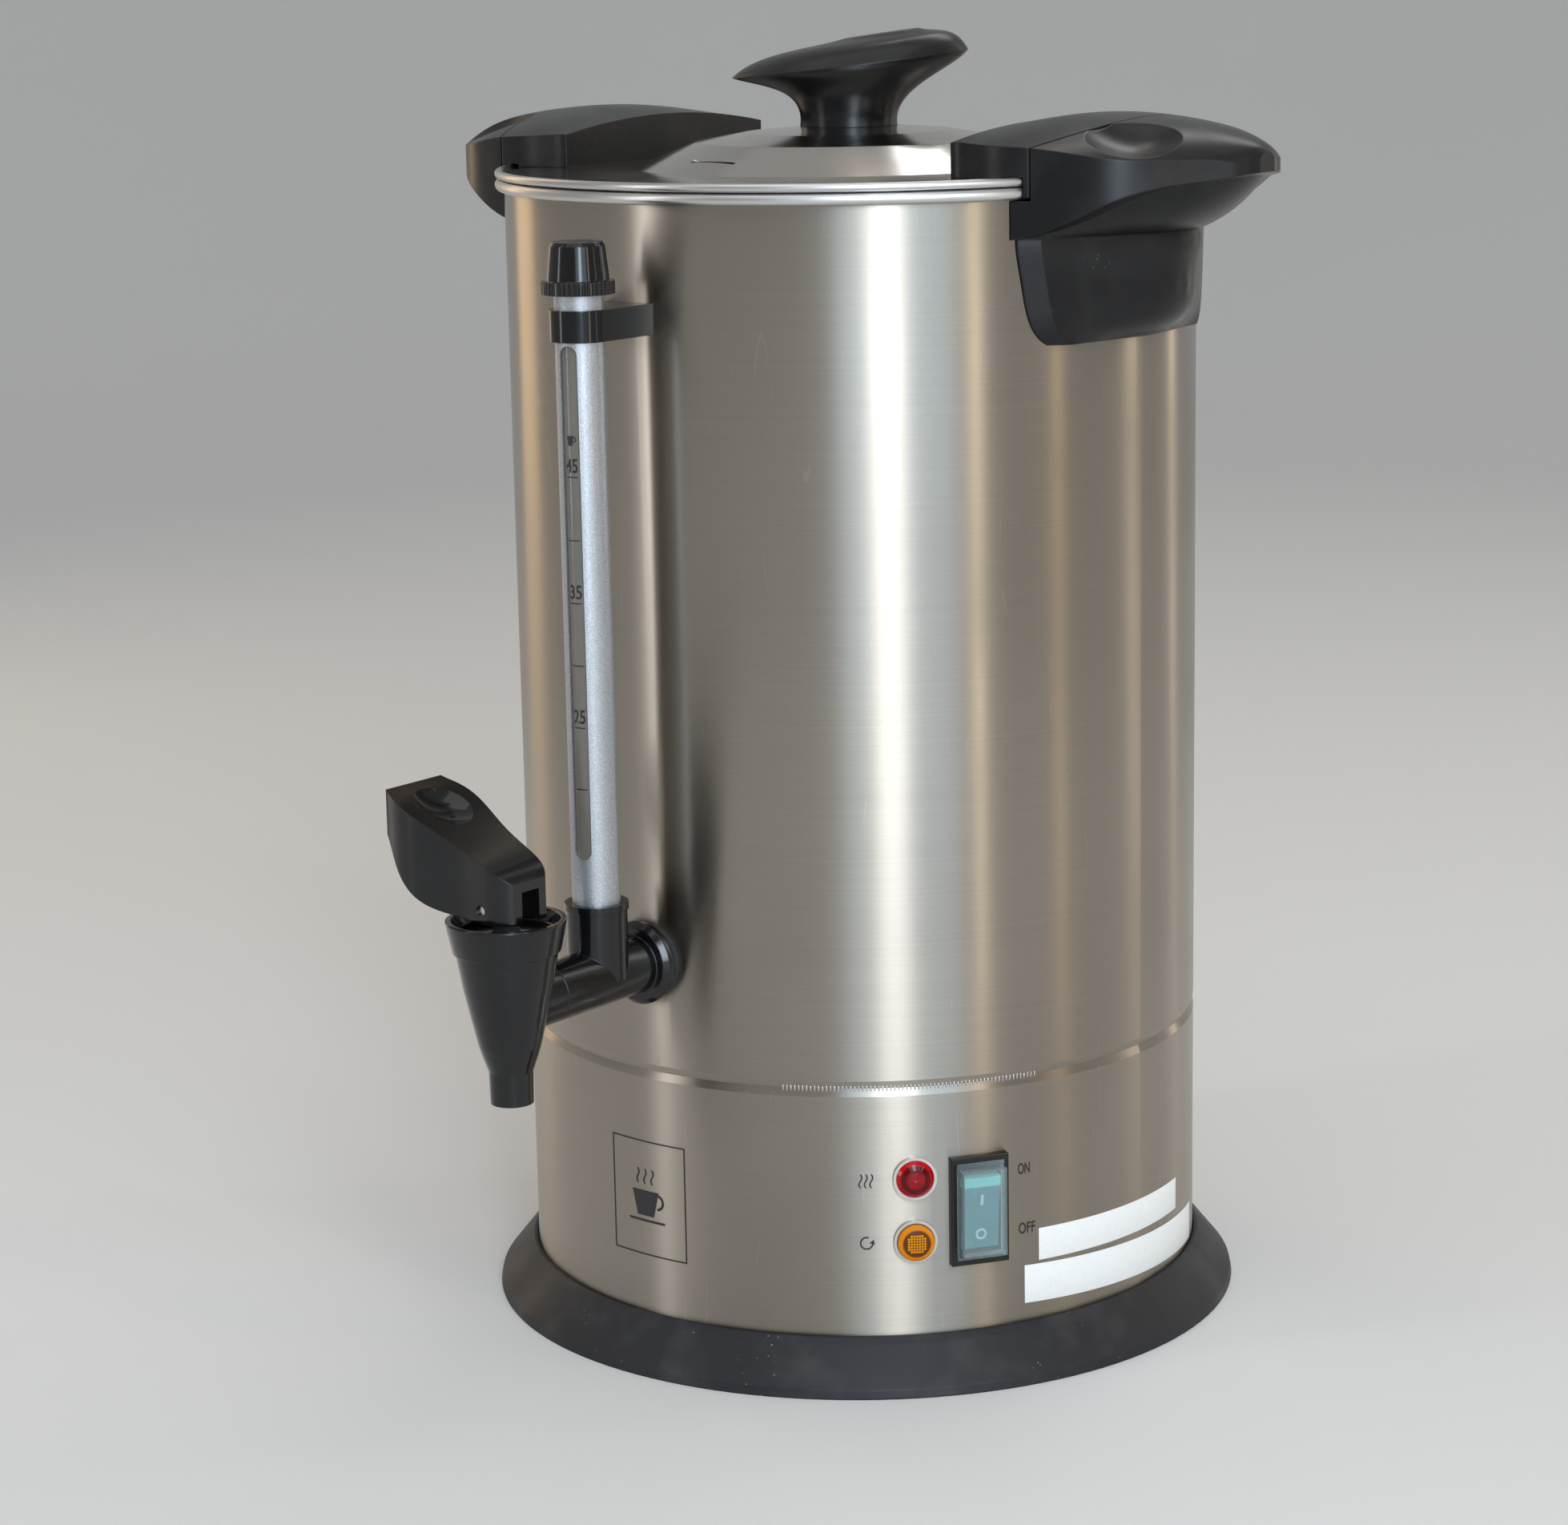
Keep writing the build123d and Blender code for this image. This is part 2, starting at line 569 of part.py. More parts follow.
reset_button = turned(
    [
        (0, STEM_LOW), (BUTTON_STEM_R, STEM_LOW), (BUTTON_STEM_R, COLLAR_H), (BUTTON_R, COLLAR_H),
        (BUTTON_R, COLLAR_H + 1.4), (BUTTON_R - 0.8, COLLAR_H + 2.0), (BUTTON_R - 2.6, COLLAR_H + 2.3),
        (0, COLLAR_H + 2.4),
    ],
    panel_reset,
)
save("reset_button", reset_button)
save("reset_spring", coil(BUTTON_STEM_R - 1.1, 0.3, HOUSING_LOW + 1, STEM_LOW - 0.05, 5, panel_reset))
save("reset_clip", (rod(8.0, -4, 0, panel_reset) & inside) - rod(PANEL_STEM_R, -10, 5, panel_reset))

# Rocker switch under a clear boot
bezel = fillet(brick(bezel_x, bezel_y, -1, BEZEL_H, panel_switch).edges(), 0.4)
switch_housing = bezel - outside
switch_housing += brick(switch_x, switch_y, -SWITCH_DEPTH, 1.0, panel_switch)
switch_housing -= brick(cavity_x, cavity_y, cavity_low, BEZEL_H + 1, panel_switch)
switch_housing += [
    brick(4.8, 0.8, -SWITCH_DEPTH - SWITCH_BLADE, -SWITCH_DEPTH + 1, panel_switch * Pos(0, y, 0))
    for y in (8, -8)
]
pivot = panel_switch * Pos(0, 0, ROCKER_PIVOT)
cross = pivot * Rot(0, 90, 0)
switch_housing -= cross * Cylinder(ROCKER_PIN_R, switch_x)
save("switch_housing", switch_housing)
save("rocker_pin", cross * Cylinder(ROCKER_PIN_R, switch_x))
rocker_side = make_face(Polyline(
    (0, -half_rocker, -ROCKER_DEPTH), (0, half_rocker, -ROCKER_DEPTH), (0, half_rocker, rocker_top),
    (0, 0, rocker_top - 0.65), (0, -half_rocker, rocker_top), close=True,
))
rocker = Pos(-ROCKER[0] / 2, 0, 0) * extrude(rocker_side, ROCKER[0], dir=(1, 0, 0))
rocker = fillet(rocker.edges().filter_by(lambda edge: edge.center().Z > rocker_top - 1.5), 0.5)
rocker -= Rot(0, 90, 0) * Cylinder(ROCKER_PIN_R + RUN, 2 * ROCKER[0])
save("switch_rocker", pivot * Rot(ROCKER_TILT, 0, 0) * rocker)
boot = fillet(brick(boot_x, boot_y, BEZEL_H, boot_ceiling + BOOT_WALL, panel_switch).edges(), 0.6)
boot += brick(boot_x + 0.6, boot_y + 2.6, BEZEL_H, BEZEL_H + 0.6, panel_switch)
boot -= brick(boot_x - 2 * BOOT_WALL, boot_y - 2 * BOOT_WALL, BEZEL_H - 1, boot_ceiling, panel_switch)
save("switch_boot", boot)


# Handles and lid wings come from one bar, so their tops run on flush
def grip_section(reach, half, low, edge, crest):
    x = BODY_R + reach
    left = (x, -half, RIM_Z + edge)
    right = (x, half, RIM_Z + edge)
    base = Polyline(left, (x, -half, RIM_Z + low), (x, half, RIM_Z + low), right)
    crown = ThreePointArc(left, (x, 0, RIM_Z + crest), right)
    return make_face(base.edges() + crown.edges())


def lobe_section(height, reach, nose_r, half, side):
    tip = BODY_R + reach
    corner = (sqrt((BODY_R + side) ** 2 - half ** 2), half)
    root = (sqrt((BODY_R - 0.5) ** 2 - (half + 5.5) ** 2), half + 5.5)
    centre = tip - nose_r
    span = hypot(corner[0] - centre, corner[1])
    angle = atan2(corner[1], corner[0] - centre) - acos(nose_r / span)
    touch = (centre + nose_r * cos(angle), nose_r * sin(angle))
    z = RIM_Z + height
    right = [(*touch, z), (*corner, z), (*root, z)]
    left = [(x, -y, z) for x, y, z in reversed(right)]
    sides = Polyline(*right, *left)
    nose = ThreePointArc(left[-1], (tip, 0, z), right[0])
    return make_face(sides.edges() + nose.edges())


bar = loft([grip_section(*row) for row in GRIP])
scoop_lift = SCOOP_R - SCOOP_DEPTH
scoop_y = SCOOP_Y + scoop_lift * sin(radians(SCOOP_LEAN))
scoop_z = RIM_Z + SCOOP_RISE + scoop_lift * cos(radians(SCOOP_LEAN))
scoops = [Pos(BODY_R + SCOOP_REACH, side * scoop_y, scoop_z) * Sphere(SCOOP_R) for side in (1, -1)]
lobe = loft([lobe_section(*row) for row in LOBE])
neck = loft([lobe_section(*row) for row in NECK])
lip_z = RIM_Z - 2.2
handle = bar + lobe + neck - scoops
handle -= rod(BODY_R, RIM_Z - 80, lip_z + 0.1)
handle -= rod(WING_R + HANDLE_GAP, lip_z, RIM_Z + 60)
handle -= [
    rod(HANDLE_SCREW_R, BODY_R - 5, BODY_R + HANDLE_SCREW_BITE, line)
    for line, (side, height) in zip(handle_lines, handle_spots) if side > 0
]
save("handle_right", handle)
save("handle_left", mirror(handle, about=Plane.YZ))

washer_in = TANK_IN - WASHER_T
washers = [
    (tube(WASHER_R, HANDLE_SCREW_R, washer_in, TANK_IN + 1, line) & inside) for line in handle_lines
]
save("handle_washers", Part() + washers)
handle_screws = []
for line in handle_lines:
    head = turned(
        [
            (0, washer_in - 2.7), (HANDLE_SCREW_R + 1.5, washer_in - 2.7),
            (HANDLE_SCREW_R + 2.5, washer_in - 1.6), (HANDLE_SCREW_R + 2.5, washer_in),
            (HANDLE_SCREW_R, washer_in), (HANDLE_SCREW_R, BODY_R + HANDLE_SCREW_BITE),
            (0, BODY_R + HANDLE_SCREW_BITE),
        ],
        line,
    )
    handle_screws.append(head)
save("handle_screws", Part() + handle_screws)

wing = bar & rod(WING_R, RIM_Z - 1.2, RIM_Z + 60)
wing -= rod(TANK_IN + 0.9, RIM_Z - 10, LID_Z)
wing -= rod(BODY_R + 3.5, RIM_Z - 10, LID_BEAD_Z + LID_BEAD_R + 0.05)
wing += bar & tube(WING_R, CONE_OUT_R, LID_Z, LID_Z + 2) & rod(TANK_IN - 1, LID_Z, LID_Z + 2)
wing_screw_x = BODY_R - WING_SCREW_INSET
wing_screw_spots = [(x, y) for x in (wing_screw_x, -wing_screw_x) for y in (WING_SCREW_Y, -WING_SCREW_Y)]
wing -= [
    rod(WING_SCREW_R, LID_Z - 1, LID_Z + WING_SCREW_BITE, upright(x, y)) for x, y in wing_screw_spots if x > 0
]
save("lid_wing_right", wing)
save("lid_wing_left", mirror(wing, about=Plane.YZ))

# Lid
under = LID_Z - LID_SHEET
dome_mid = (DOME_FLAT_R + CONE_IN_R) / 2 + 1
lid_plate = turned([
    (0, LID_TOP), (DOME_FLAT_R, LID_TOP), (dome_mid, LID_TOP - 1.5), (CONE_IN_R, LID_Z + CONE_RISE),
    (CONE_OUT_R, LID_Z), (BODY_R + LID_BEAD_REACH, LID_Z), (BODY_R + LID_BEAD_REACH, under),
    (CONE_OUT_R, under), (CONE_IN_R, under + CONE_RISE),
    (dome_mid, LID_TOP - 1.5 - LID_SHEET), (DOME_FLAT_R, LID_TOP - LID_SHEET), (0, LID_TOP - LID_SHEET),
])
lid_plate += Pos(0, 0, LID_BEAD_Z) * Torus(BODY_R + LID_BEAD_REACH, LID_BEAD_R)
lid_plate += tube(LID_SKIRT_R, LID_SKIRT_R - LID_SKIRT_T, under - LID_SKIRT_H, under + 0.4)
slot_r = (CONE_OUT_R + CONE_IN_R) / 2
for azimuth in (SLOT_AZ, SLOT_AZ + 180):
    lid_plate -= on_wall(azimuth, LID_Z + CONE_RISE / 2, slot_r) * Box(SLOT_LENGTH, 20, SLOT_WIDTH)
lid_plate -= [rod(WING_SCREW_R + SLIP, LID_Z - 5, LID_Z + 5, upright(x, y)) for x, y in wing_screw_spots]
lid_plate -= rod(KNOB_SCREW_R + SLIP, LID_TOP - 5, LID_TOP + 5)
save("lid_plate", lid_plate)

wing_screws = [
    turned(
        [
            (0, under - WING_HEAD_H), (0.8 * WING_HEAD_R, under - WING_HEAD_H),
            (WING_HEAD_R, under - 0.7 * WING_HEAD_H), (WING_HEAD_R, under), (WING_SCREW_R, under),
            (WING_SCREW_R, LID_Z + WING_SCREW_BITE), (0, LID_Z + WING_SCREW_BITE),
        ],
        upright(x, y),
    )
    for x, y in wing_screw_spots
]
save("wing_screws", Part() + wing_screws)

turn = Rot(0, 0, KNOB_TURN)
# Knob sections as (shift along its length, height, half length, half width, tilt)
knob_under = [
    (0.0, 0.0, 15.8, 15.8, 0.0),
    (0.3, 6.5, 16.8, 15.9, 0.5),
    (1.2, 12.6, 23.5, 18.6, 3.0),
    (0.6, 19.7, 38.4, 24.0, KNOB_TILT),
]
knob_over = [
    (0.6, 19.7, 38.4, 24.0, KNOB_TILT),
    (1.8, 23.0, 35.0, 21.2, KNOB_TILT + 0.4),
    (5.5, 26.6, 26.0, 15.2, KNOB_TILT + 0.8),
    (11.0, 29.2, 12.0, 7.0, KNOB_TILT + 1.2),
]


def knob_half(rows):
    """Loft through tilted ellipses."""
    return loft([
        Pos(shift, 0, LID_TOP + rise) * Rot(0, -tilt, 0) * Ellipse(long, short)
        for shift, rise, long, short, tilt in rows
    ])


lid_knob = turn * (knob_half(knob_under) + knob_half(knob_over))
lid_knob -= rod(KNOB_SCREW_R, LID_TOP - 1, LID_TOP + KNOB_SCREW_BITE)
save("lid_knob", lid_knob)
knob_seat = LID_TOP - LID_SHEET
save("knob_washer", tube(KNOB_SCREW_R + 4.5, KNOB_SCREW_R, knob_seat - 1, knob_seat))
knob_screw = rod(KNOB_SCREW_R * 2, knob_seat - 3.4, knob_seat - 1)
knob_screw += rod(KNOB_SCREW_R, knob_seat - 2, LID_TOP + KNOB_SCREW_BITE)
save("knob_screw", knob_screw)

# Percolator: pump tube, basket and cover
bell_low = WELL_Z + SHEET + AIR
pump_in = PUMP_R - PUMP_WALL
pump_tube = turned([
    (BELL_R, bell_low), (BELL_R, bell_low + 1.5), (PUMP_R + 3, bell_low + 13.2), (PUMP_R, bell_low + 18),
    (PUMP_R, PUMP_TOP), (pump_in, PUMP_TOP), (pump_in, bell_low + 17.6), (pump_in + 3.2, bell_low + 12.4),
    (BELL_R - 1, bell_low + 0.9), (BELL_R - 1, bell_low),
])
pump_tube += tube(PUMP_R + 4, pump_in + 0.5, BASKET_Z - 4, BASKET_Z)
save("pump_tube", pump_tube)


def perforations(low, high, rows):
    """Drills for rings of round holes, rows as (ring radius, count)."""
    drills = []
    for ring_r, count in rows:
        drills += [spot * rod(DRAIN_R, low, high) for spot in PolarLocations(ring_r, count)]
    return drills


basket_in = BASKET_R - BASKET_WALL
coffee_basket = turned([
    (PUMP_R + SLIP, BASKET_Z), (BASKET_R, BASKET_Z), (BASKET_R, BASKET_Z + BASKET_H),
    (basket_in, BASKET_Z + BASKET_H), (basket_in, BASKET_Z + BASKET_WALL),
    (PUMP_R + SLIP, BASKET_Z + BASKET_WALL),
])
coffee_basket -= perforations(BASKET_Z - 1, BASKET_Z + 3, [(22, 12), (42, 20), (62, 30)])
save("coffee_basket", coffee_basket)
cover_z = BASKET_Z + BASKET_H
basket_cover = tube(BASKET_R + 0.8, PUMP_R + SLIP, cover_z, cover_z + 1.2)
basket_cover += tube(basket_in - AIR, basket_in - AIR - 1.2, cover_z - 4, cover_z + 0.5)
basket_cover -= perforations(cover_z - 1, cover_z + 3, [(18, 10), (38, 18), (58, 28)])
save("basket_cover", basket_cover)

# Tap: gaskets, tee, nut, valve body, bonnet, stem, seat, spring and lever
tap_gasket = tube(FLANGE_R - 0.7, SHANK_R + SLIP, BODY_R - 4, BODY_R + GASKET_T, tap_line) - outside
save("tap_gasket", tap_gasket)
flange_r = BODY_R + GASKET_T
flange_top = flange_r + FLANGE_T
tap_tee = turned(
    [
        (0, flange_r), (FLANGE_R - 0.9, flange_r), (FLANGE_R, flange_r + 1.2), (FLANGE_R, flange_top - 1.8),
        (FLANGE_R - 1.6, flange_top), (BARREL_R, flange_top), (BARREL_R, TAP_JOINT_R), (0, TAP_JOINT_R),
    ],
    tap_line, soft=0.5,
)
tap_tee += rod(SHANK_R, TANK_IN - 14, flange_r + 2, tap_line)
tee_top = TAP_Z + TEE_H
tap_tee += rod(TEE_R, TAP_Z, tee_top, gauge_axis)
tap_tee += rod(TEE_R + TEE_RIM, tee_top - TEE_RIM_H, tee_top, gauge_axis)
tap_tee -= rod(BORE_R, TANK_IN - 20, TAP_JOINT_R + 5, tap_line)
tap_tee -= rod(GLASS_BORE_R, TAP_Z, tee_top, gauge_axis)
tap_tee -= rod(SOCKET_R, tee_top - SOCKET_DEPTH, tee_top + 5, gauge_axis)
save("tap_tee", tap_tee)
nut_face = TANK_IN - 2
save("tap_inner_gasket", tube(SHANK_R + 4, SHANK_R, nut_face, TANK_IN + 2, tap_line) & inside)
hexagon = extrude(RegularPolygon(SHANK_R + 3.5, 6, major_radius=False), NUT_T)
tap_nut = tap_line * Pos(0, 0, nut_face - NUT_T) * hexagon
tap_nut -= rod(SHANK_R, nut_face - 10, nut_face + 5, tap_line)
save("tap_nut", tap_nut)

chamber_r = SPOUT_R + CHAMBER_LIP
cone_r = chamber_r - 3.0
hip_low = SPOUT_Z + SPOUT_L
tap_body = turned(
    [
        (0, SPOUT_Z), (SPOUT_R, SPOUT_Z), (SPOUT_R + SPOUT_TAPER, hip_low),
        (SPOUT_R + HIP_LIP, hip_low + HIP_H), (SPOUT_R + WAIST_LIP, SEAT_Z - WAIST_DROP),
        (cone_r + CONE_WALL, SEAT_Z + CONE_H),
        (chamber_r + THROAT_WALL, SEAT_Z + THROAT_H), (chamber_r + CHAMBER_WALL, BONNET_Z), (0, BONNET_Z),
    ],
    spout_axis,
)
tap_body += rod(BARREL_R, TAP_JOINT_R, TAP_R, tap_line)
tap_body -= turned(
    [
        (0, SPOUT_Z - 4), (SPOUT_BORE_R, SPOUT_Z - 4), (SPOUT_BORE_R, SEAT_Z), (chamber_r - SEAT_LIP, SEAT_Z),
        (cone_r, SEAT_Z + CONE_H), (chamber_r, SEAT_Z + THROAT_H), (chamber_r, BONNET_Z + 1),
        (0, BONNET_Z + 1),
    ],
    spout_axis,
)
tap_body -= rod(BORE_R, TAP_JOINT_R - 5, TAP_R, tap_line)
save("tap_body", tap_body)

bonnet_floor = BONNET_TOP - BONNET_RECESS
tap_bonnet = turned(
    [
        (STEM_R + RUN, BONNET_LOW), (chamber_r - 0.5, BONNET_LOW), (chamber_r - 0.5, BONNET_Z),
        (chamber_r + BONNET_FOOT_LIP, BONNET_Z), (chamber_r + BONNET_LIP, BONNET_TOP),
        (chamber_r + BONNET_LIP - BONNET_RIM, BONNET_TOP), (chamber_r + BONNET_FOOT_LIP - 1.2, bonnet_floor),
        (STEM_R + RUN, bonnet_floor),
    ],
    spout_axis, soft=0.4,
)
save("tap_bonnet", tap_bonnet)

foot_low = CUP_LOW + 3.3
foot_high = foot_low + 2.35
tap_stem = rod(STEM_FOOT_R, foot_low, foot_high, spout_axis)
tap_stem += rod(STEM_R, foot_low, BONNET_TOP - 1, spout_axis)
tap_stem += brick(2 * EYE_HALF, 2 * EYE_HALF, BONNET_TOP - 1.5, PIVOT_Z + 4, spout_axis)
pin_line = spout_axis * Pos(0, 0, PIVOT_Z) * Rot(90, 0, 0)
tap_stem -= pin_line * Cylinder(LEVER_PIN_R, 4 * EYE_HALF)
save("tap_stem", tap_stem)
save("lever_pin", pin_line * Cylinder(LEVER_PIN_R, 2 * LEVER[1][1] - 1.8))

cup_r = STEM_FOOT_R + 2.3
seat_cup = turned(
    [
        (0, CUP_LOW), (cup_r - 0.5, CUP_LOW), (cup_r, CUP_LOW + 1.9), (cup_r - 0.7, CUP_TOP),
        (STEM_R + RUN, CUP_TOP), (STEM_R + RUN, foot_high + RUN), (STEM_FOOT_R + RUN, foot_high + RUN),
        (STEM_FOOT_R + RUN, foot_low - RUN),
        (0, foot_low - RUN),
    ],
    spout_axis,
)
save("seat_cup", seat_cup)
save("stem_spring", coil(STEM_R + 1.6, SPRING_WIRE_R, CUP_TOP + 0.05, BONNET_LOW, 5, spout_axis))


def lever_section(x, half, low, high):
    foot = PIVOT_Z + low
    head = PIVOT_Z + high
    corners = [(x, -half, foot), (x, half, foot), (x, half, head), (x, -half, head)]
    return make_face(Polyline(*corners, close=True))


lever = loft([lever_section(*row) for row in LEVER])
lever_slope = atan2(LEVER[-1][3] - LEVER[1][3], LEVER[1][0] - LEVER[-1][0])
dimple_z = PIVOT_Z + LEVER[1][3] + (LEVER[1][0] - DIMPLE_X) * tan(lever_slope)
dimple_lift = DIMPLE_R - DIMPLE_DEPTH
lever -= Pos(
    DIMPLE_X + dimple_lift * sin(lever_slope), 0, dimple_z + dimple_lift * cos(lever_slope)
) * Sphere(DIMPLE_R)
lever -= Pos(0, 0, BONNET_TOP + LEVER_GAP - 20) * Box(60, 60, 20, align=BASE_ALIGN)
eye_room = hypot(EYE_HALF, 4) + 0.2
eye_slot = Box(40, 2 * (EYE_HALF + AIR), 20 + eye_room, align=(Align.MIN, Align.CENTER, Align.MIN))
lever -= Pos(-eye_room - 0.6, 0, PIVOT_Z - 20) * eye_slot
lever -= Pos(0, 0, PIVOT_Z) * Rot(90, 0, 0) * Cylinder(LEVER_PIN_R + RUN, 60)
save("tap_lever", spout_axis * lever)

# Level gauge
seal_low = tee_top - SOCKET_DEPTH
seal_top = seal_low + SEAL_T
save("gauge_seal", tube(SOCKET_R, GLASS_BORE_R, seal_low, seal_top, gauge_axis))
save("gauge_tube", tube(GLASS_R, GLASS_BORE_R, seal_top, GLASS_TOP, gauge_axis))
guard = tube(GUARD_R, GUARD_BORE_R, seal_top, NECK_TOP, gauge_axis)
slot_low = tee_top + GUARD_SLOT_RISE
slot_high = BRACKET_Z - GUARD_SLOT_DROP
slot_dir = (sin(radians(GUARD_SLOT_AZ)), -cos(radians(GUARD_SLOT_AZ)), 0)
slot_face = Plane(origin=(0, -GAUGE_R, (slot_low + slot_high) / 2), x_dir=(0, 0, 1), z_dir=slot_dir)
guard -= extrude(slot_face * SlotOverall(slot_high - slot_low, GUARD_SLOT), GUARD_R + 1)
save("gauge_guard", guard)
bracket_top = BRACKET_Z + BRACKET_H
bracket = rod(BRACKET_R, BRACKET_Z, bracket_top, gauge_axis)
arm = Box(2 * BRACKET_R, GAUGE_R - BODY_R + 10, BRACKET_H, align=(Align.CENTER, Align.MIN, Align.MIN))
bracket += Pos(0, -GAUGE_R, BRACKET_Z) * arm - outside
bracket -= rod(GUARD_R + SLIP, BRACKET_Z - 1, bracket_top + 1, gauge_axis)
bracket -= rod(BASE_SCREW_R, BODY_R - 5, BODY_R + 12, bracket_line)
save("gauge_bracket", bracket)
bracket_screw = rod(BASE_SCREW_R, TANK_IN - 2, BODY_R + 12, bracket_line)
bracket_screw += rod(4.0, TANK_IN - 2.6, TANK_IN + 2, bracket_line) & inside
save("bracket_screw", bracket_screw)
liner_low = GLASS_TOP + AIR
liner_top = liner_low + LINER_T
save("cap_liner", rod(GUARD_R - 0.2, liner_low, liner_top, gauge_axis))
cap_top = CAP_Z + CAP_H
ring_top = CAP_Z + CAP_RING_H
gauge_cap = turned(
    [
        (0, cap_top + 0.4), (CAP_R - 2.5, cap_top + 0.2), (CAP_R - 0.7, cap_top), (CAP_R, cap_top - 1.2),
        (CAP_R + CAP_TAPER, ring_top), (CAP_RING_R, ring_top), (CAP_RING_R, CAP_Z), (CAP_BORE_R, CAP_Z),
        (CAP_BORE_R, liner_top + RUN), (0, liner_top + RUN),
    ],
    gauge_axis, soft=0.25,
)
gauge_cap -= [
    gauge_axis * spot * rod(KNURL_R, CAP_Z - 1, ring_top + 0.2)
    for spot in PolarLocations(CAP_RING_R + 0.2, KNURLS)
]
save("gauge_cap", gauge_cap)
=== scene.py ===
"""Looks of a percolating coffee urn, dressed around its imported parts.

Lengths are metres. Azimuths are degrees about the tank's axis, from -Y (the tap) toward +X.
"""

import json
import logging
import math
from dataclasses import dataclass
from enum import Enum

import bmesh
import bpy
from mathutils import Matrix, Vector


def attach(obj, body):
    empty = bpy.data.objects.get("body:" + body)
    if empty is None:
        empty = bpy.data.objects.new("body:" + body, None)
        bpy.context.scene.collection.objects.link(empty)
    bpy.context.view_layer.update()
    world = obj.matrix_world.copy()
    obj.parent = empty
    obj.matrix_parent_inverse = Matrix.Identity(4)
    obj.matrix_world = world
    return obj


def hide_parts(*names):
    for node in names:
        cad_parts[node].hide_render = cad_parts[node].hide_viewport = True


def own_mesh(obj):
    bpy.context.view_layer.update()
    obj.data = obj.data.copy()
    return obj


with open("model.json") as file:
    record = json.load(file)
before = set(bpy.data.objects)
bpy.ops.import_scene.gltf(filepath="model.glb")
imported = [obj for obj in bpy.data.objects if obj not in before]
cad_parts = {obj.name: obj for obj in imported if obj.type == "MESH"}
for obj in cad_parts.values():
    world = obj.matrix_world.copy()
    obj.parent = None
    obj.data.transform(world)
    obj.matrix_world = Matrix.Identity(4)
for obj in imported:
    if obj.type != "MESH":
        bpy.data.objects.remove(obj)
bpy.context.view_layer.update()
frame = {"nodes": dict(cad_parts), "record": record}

log = logging.getLogger("coffee_urn")

Pair = tuple[float, float]
Triple = tuple[float, float, float]
Colour = Triple
Socket = bpy.types.NodeSocket
Material = bpy.types.Material
Object = bpy.types.Object

MM = 0.001
SHELL_RADIUS = 112.0 * MM
PANEL_AZIMUTH = 45.0
LAMP_HEIGHT = 68.1 * MM
BUTTON_HEIGHT = 47.5 * MM
PRINT_LIFT = 0.01 * MM
CAPITAL_SHARE = 0.72
STROKE_SHARE = 0.014
DUST_FILM = (0.42, 0.40, 0.37)
DUST_SPECK = (0.6, 0.58, 0.55)


class Body(str, Enum):
    """Bodies that new pieces ride on."""

    URN = "urn"
    LID = "lid"
    ROCKER = "rocker"
    RESET = "reset"


class Slot(str, Enum):
    """Material slots of the record."""

    BRUSHED = "brushed_steel"
    POLISHED = "polished_steel"
    STAINLESS = "stainless"
    FASTENER = "fastener_steel"
    HEATER = "heater_steel"
    SATIN = "satin_black"
    GLOSS = "gloss_black"
    CHARCOAL = "charcoal_base"
    COLLAR = "collar_trim"
    STEM = "stem_plastic"
    TERMINAL = "terminal_plastic"
    WIRE = "wire_cover"
    RUBBER = "seal_rubber"
    SLEEVE = "sleeve_silver"
    TUBE = "clear_tube"
    BOOT = "clear_boot"
    ROCKER = "teal_rocker"
    LENS = "red_lens"
    AMBER = "amber_button"


def on_azimuth(azimuth: float, radius: float, height: float) -> Vector:
    """Point around the tank's axis.

    Args:
        azimuth: Degrees from -Y toward +X.
        radius: Distance from the axis.
        height: Height above the table.

    Returns:
        The point in the shared frame.
    """
    angle = math.radians(azimuth)
    return Vector((radius * math.sin(angle), -radius * math.cos(angle), height))


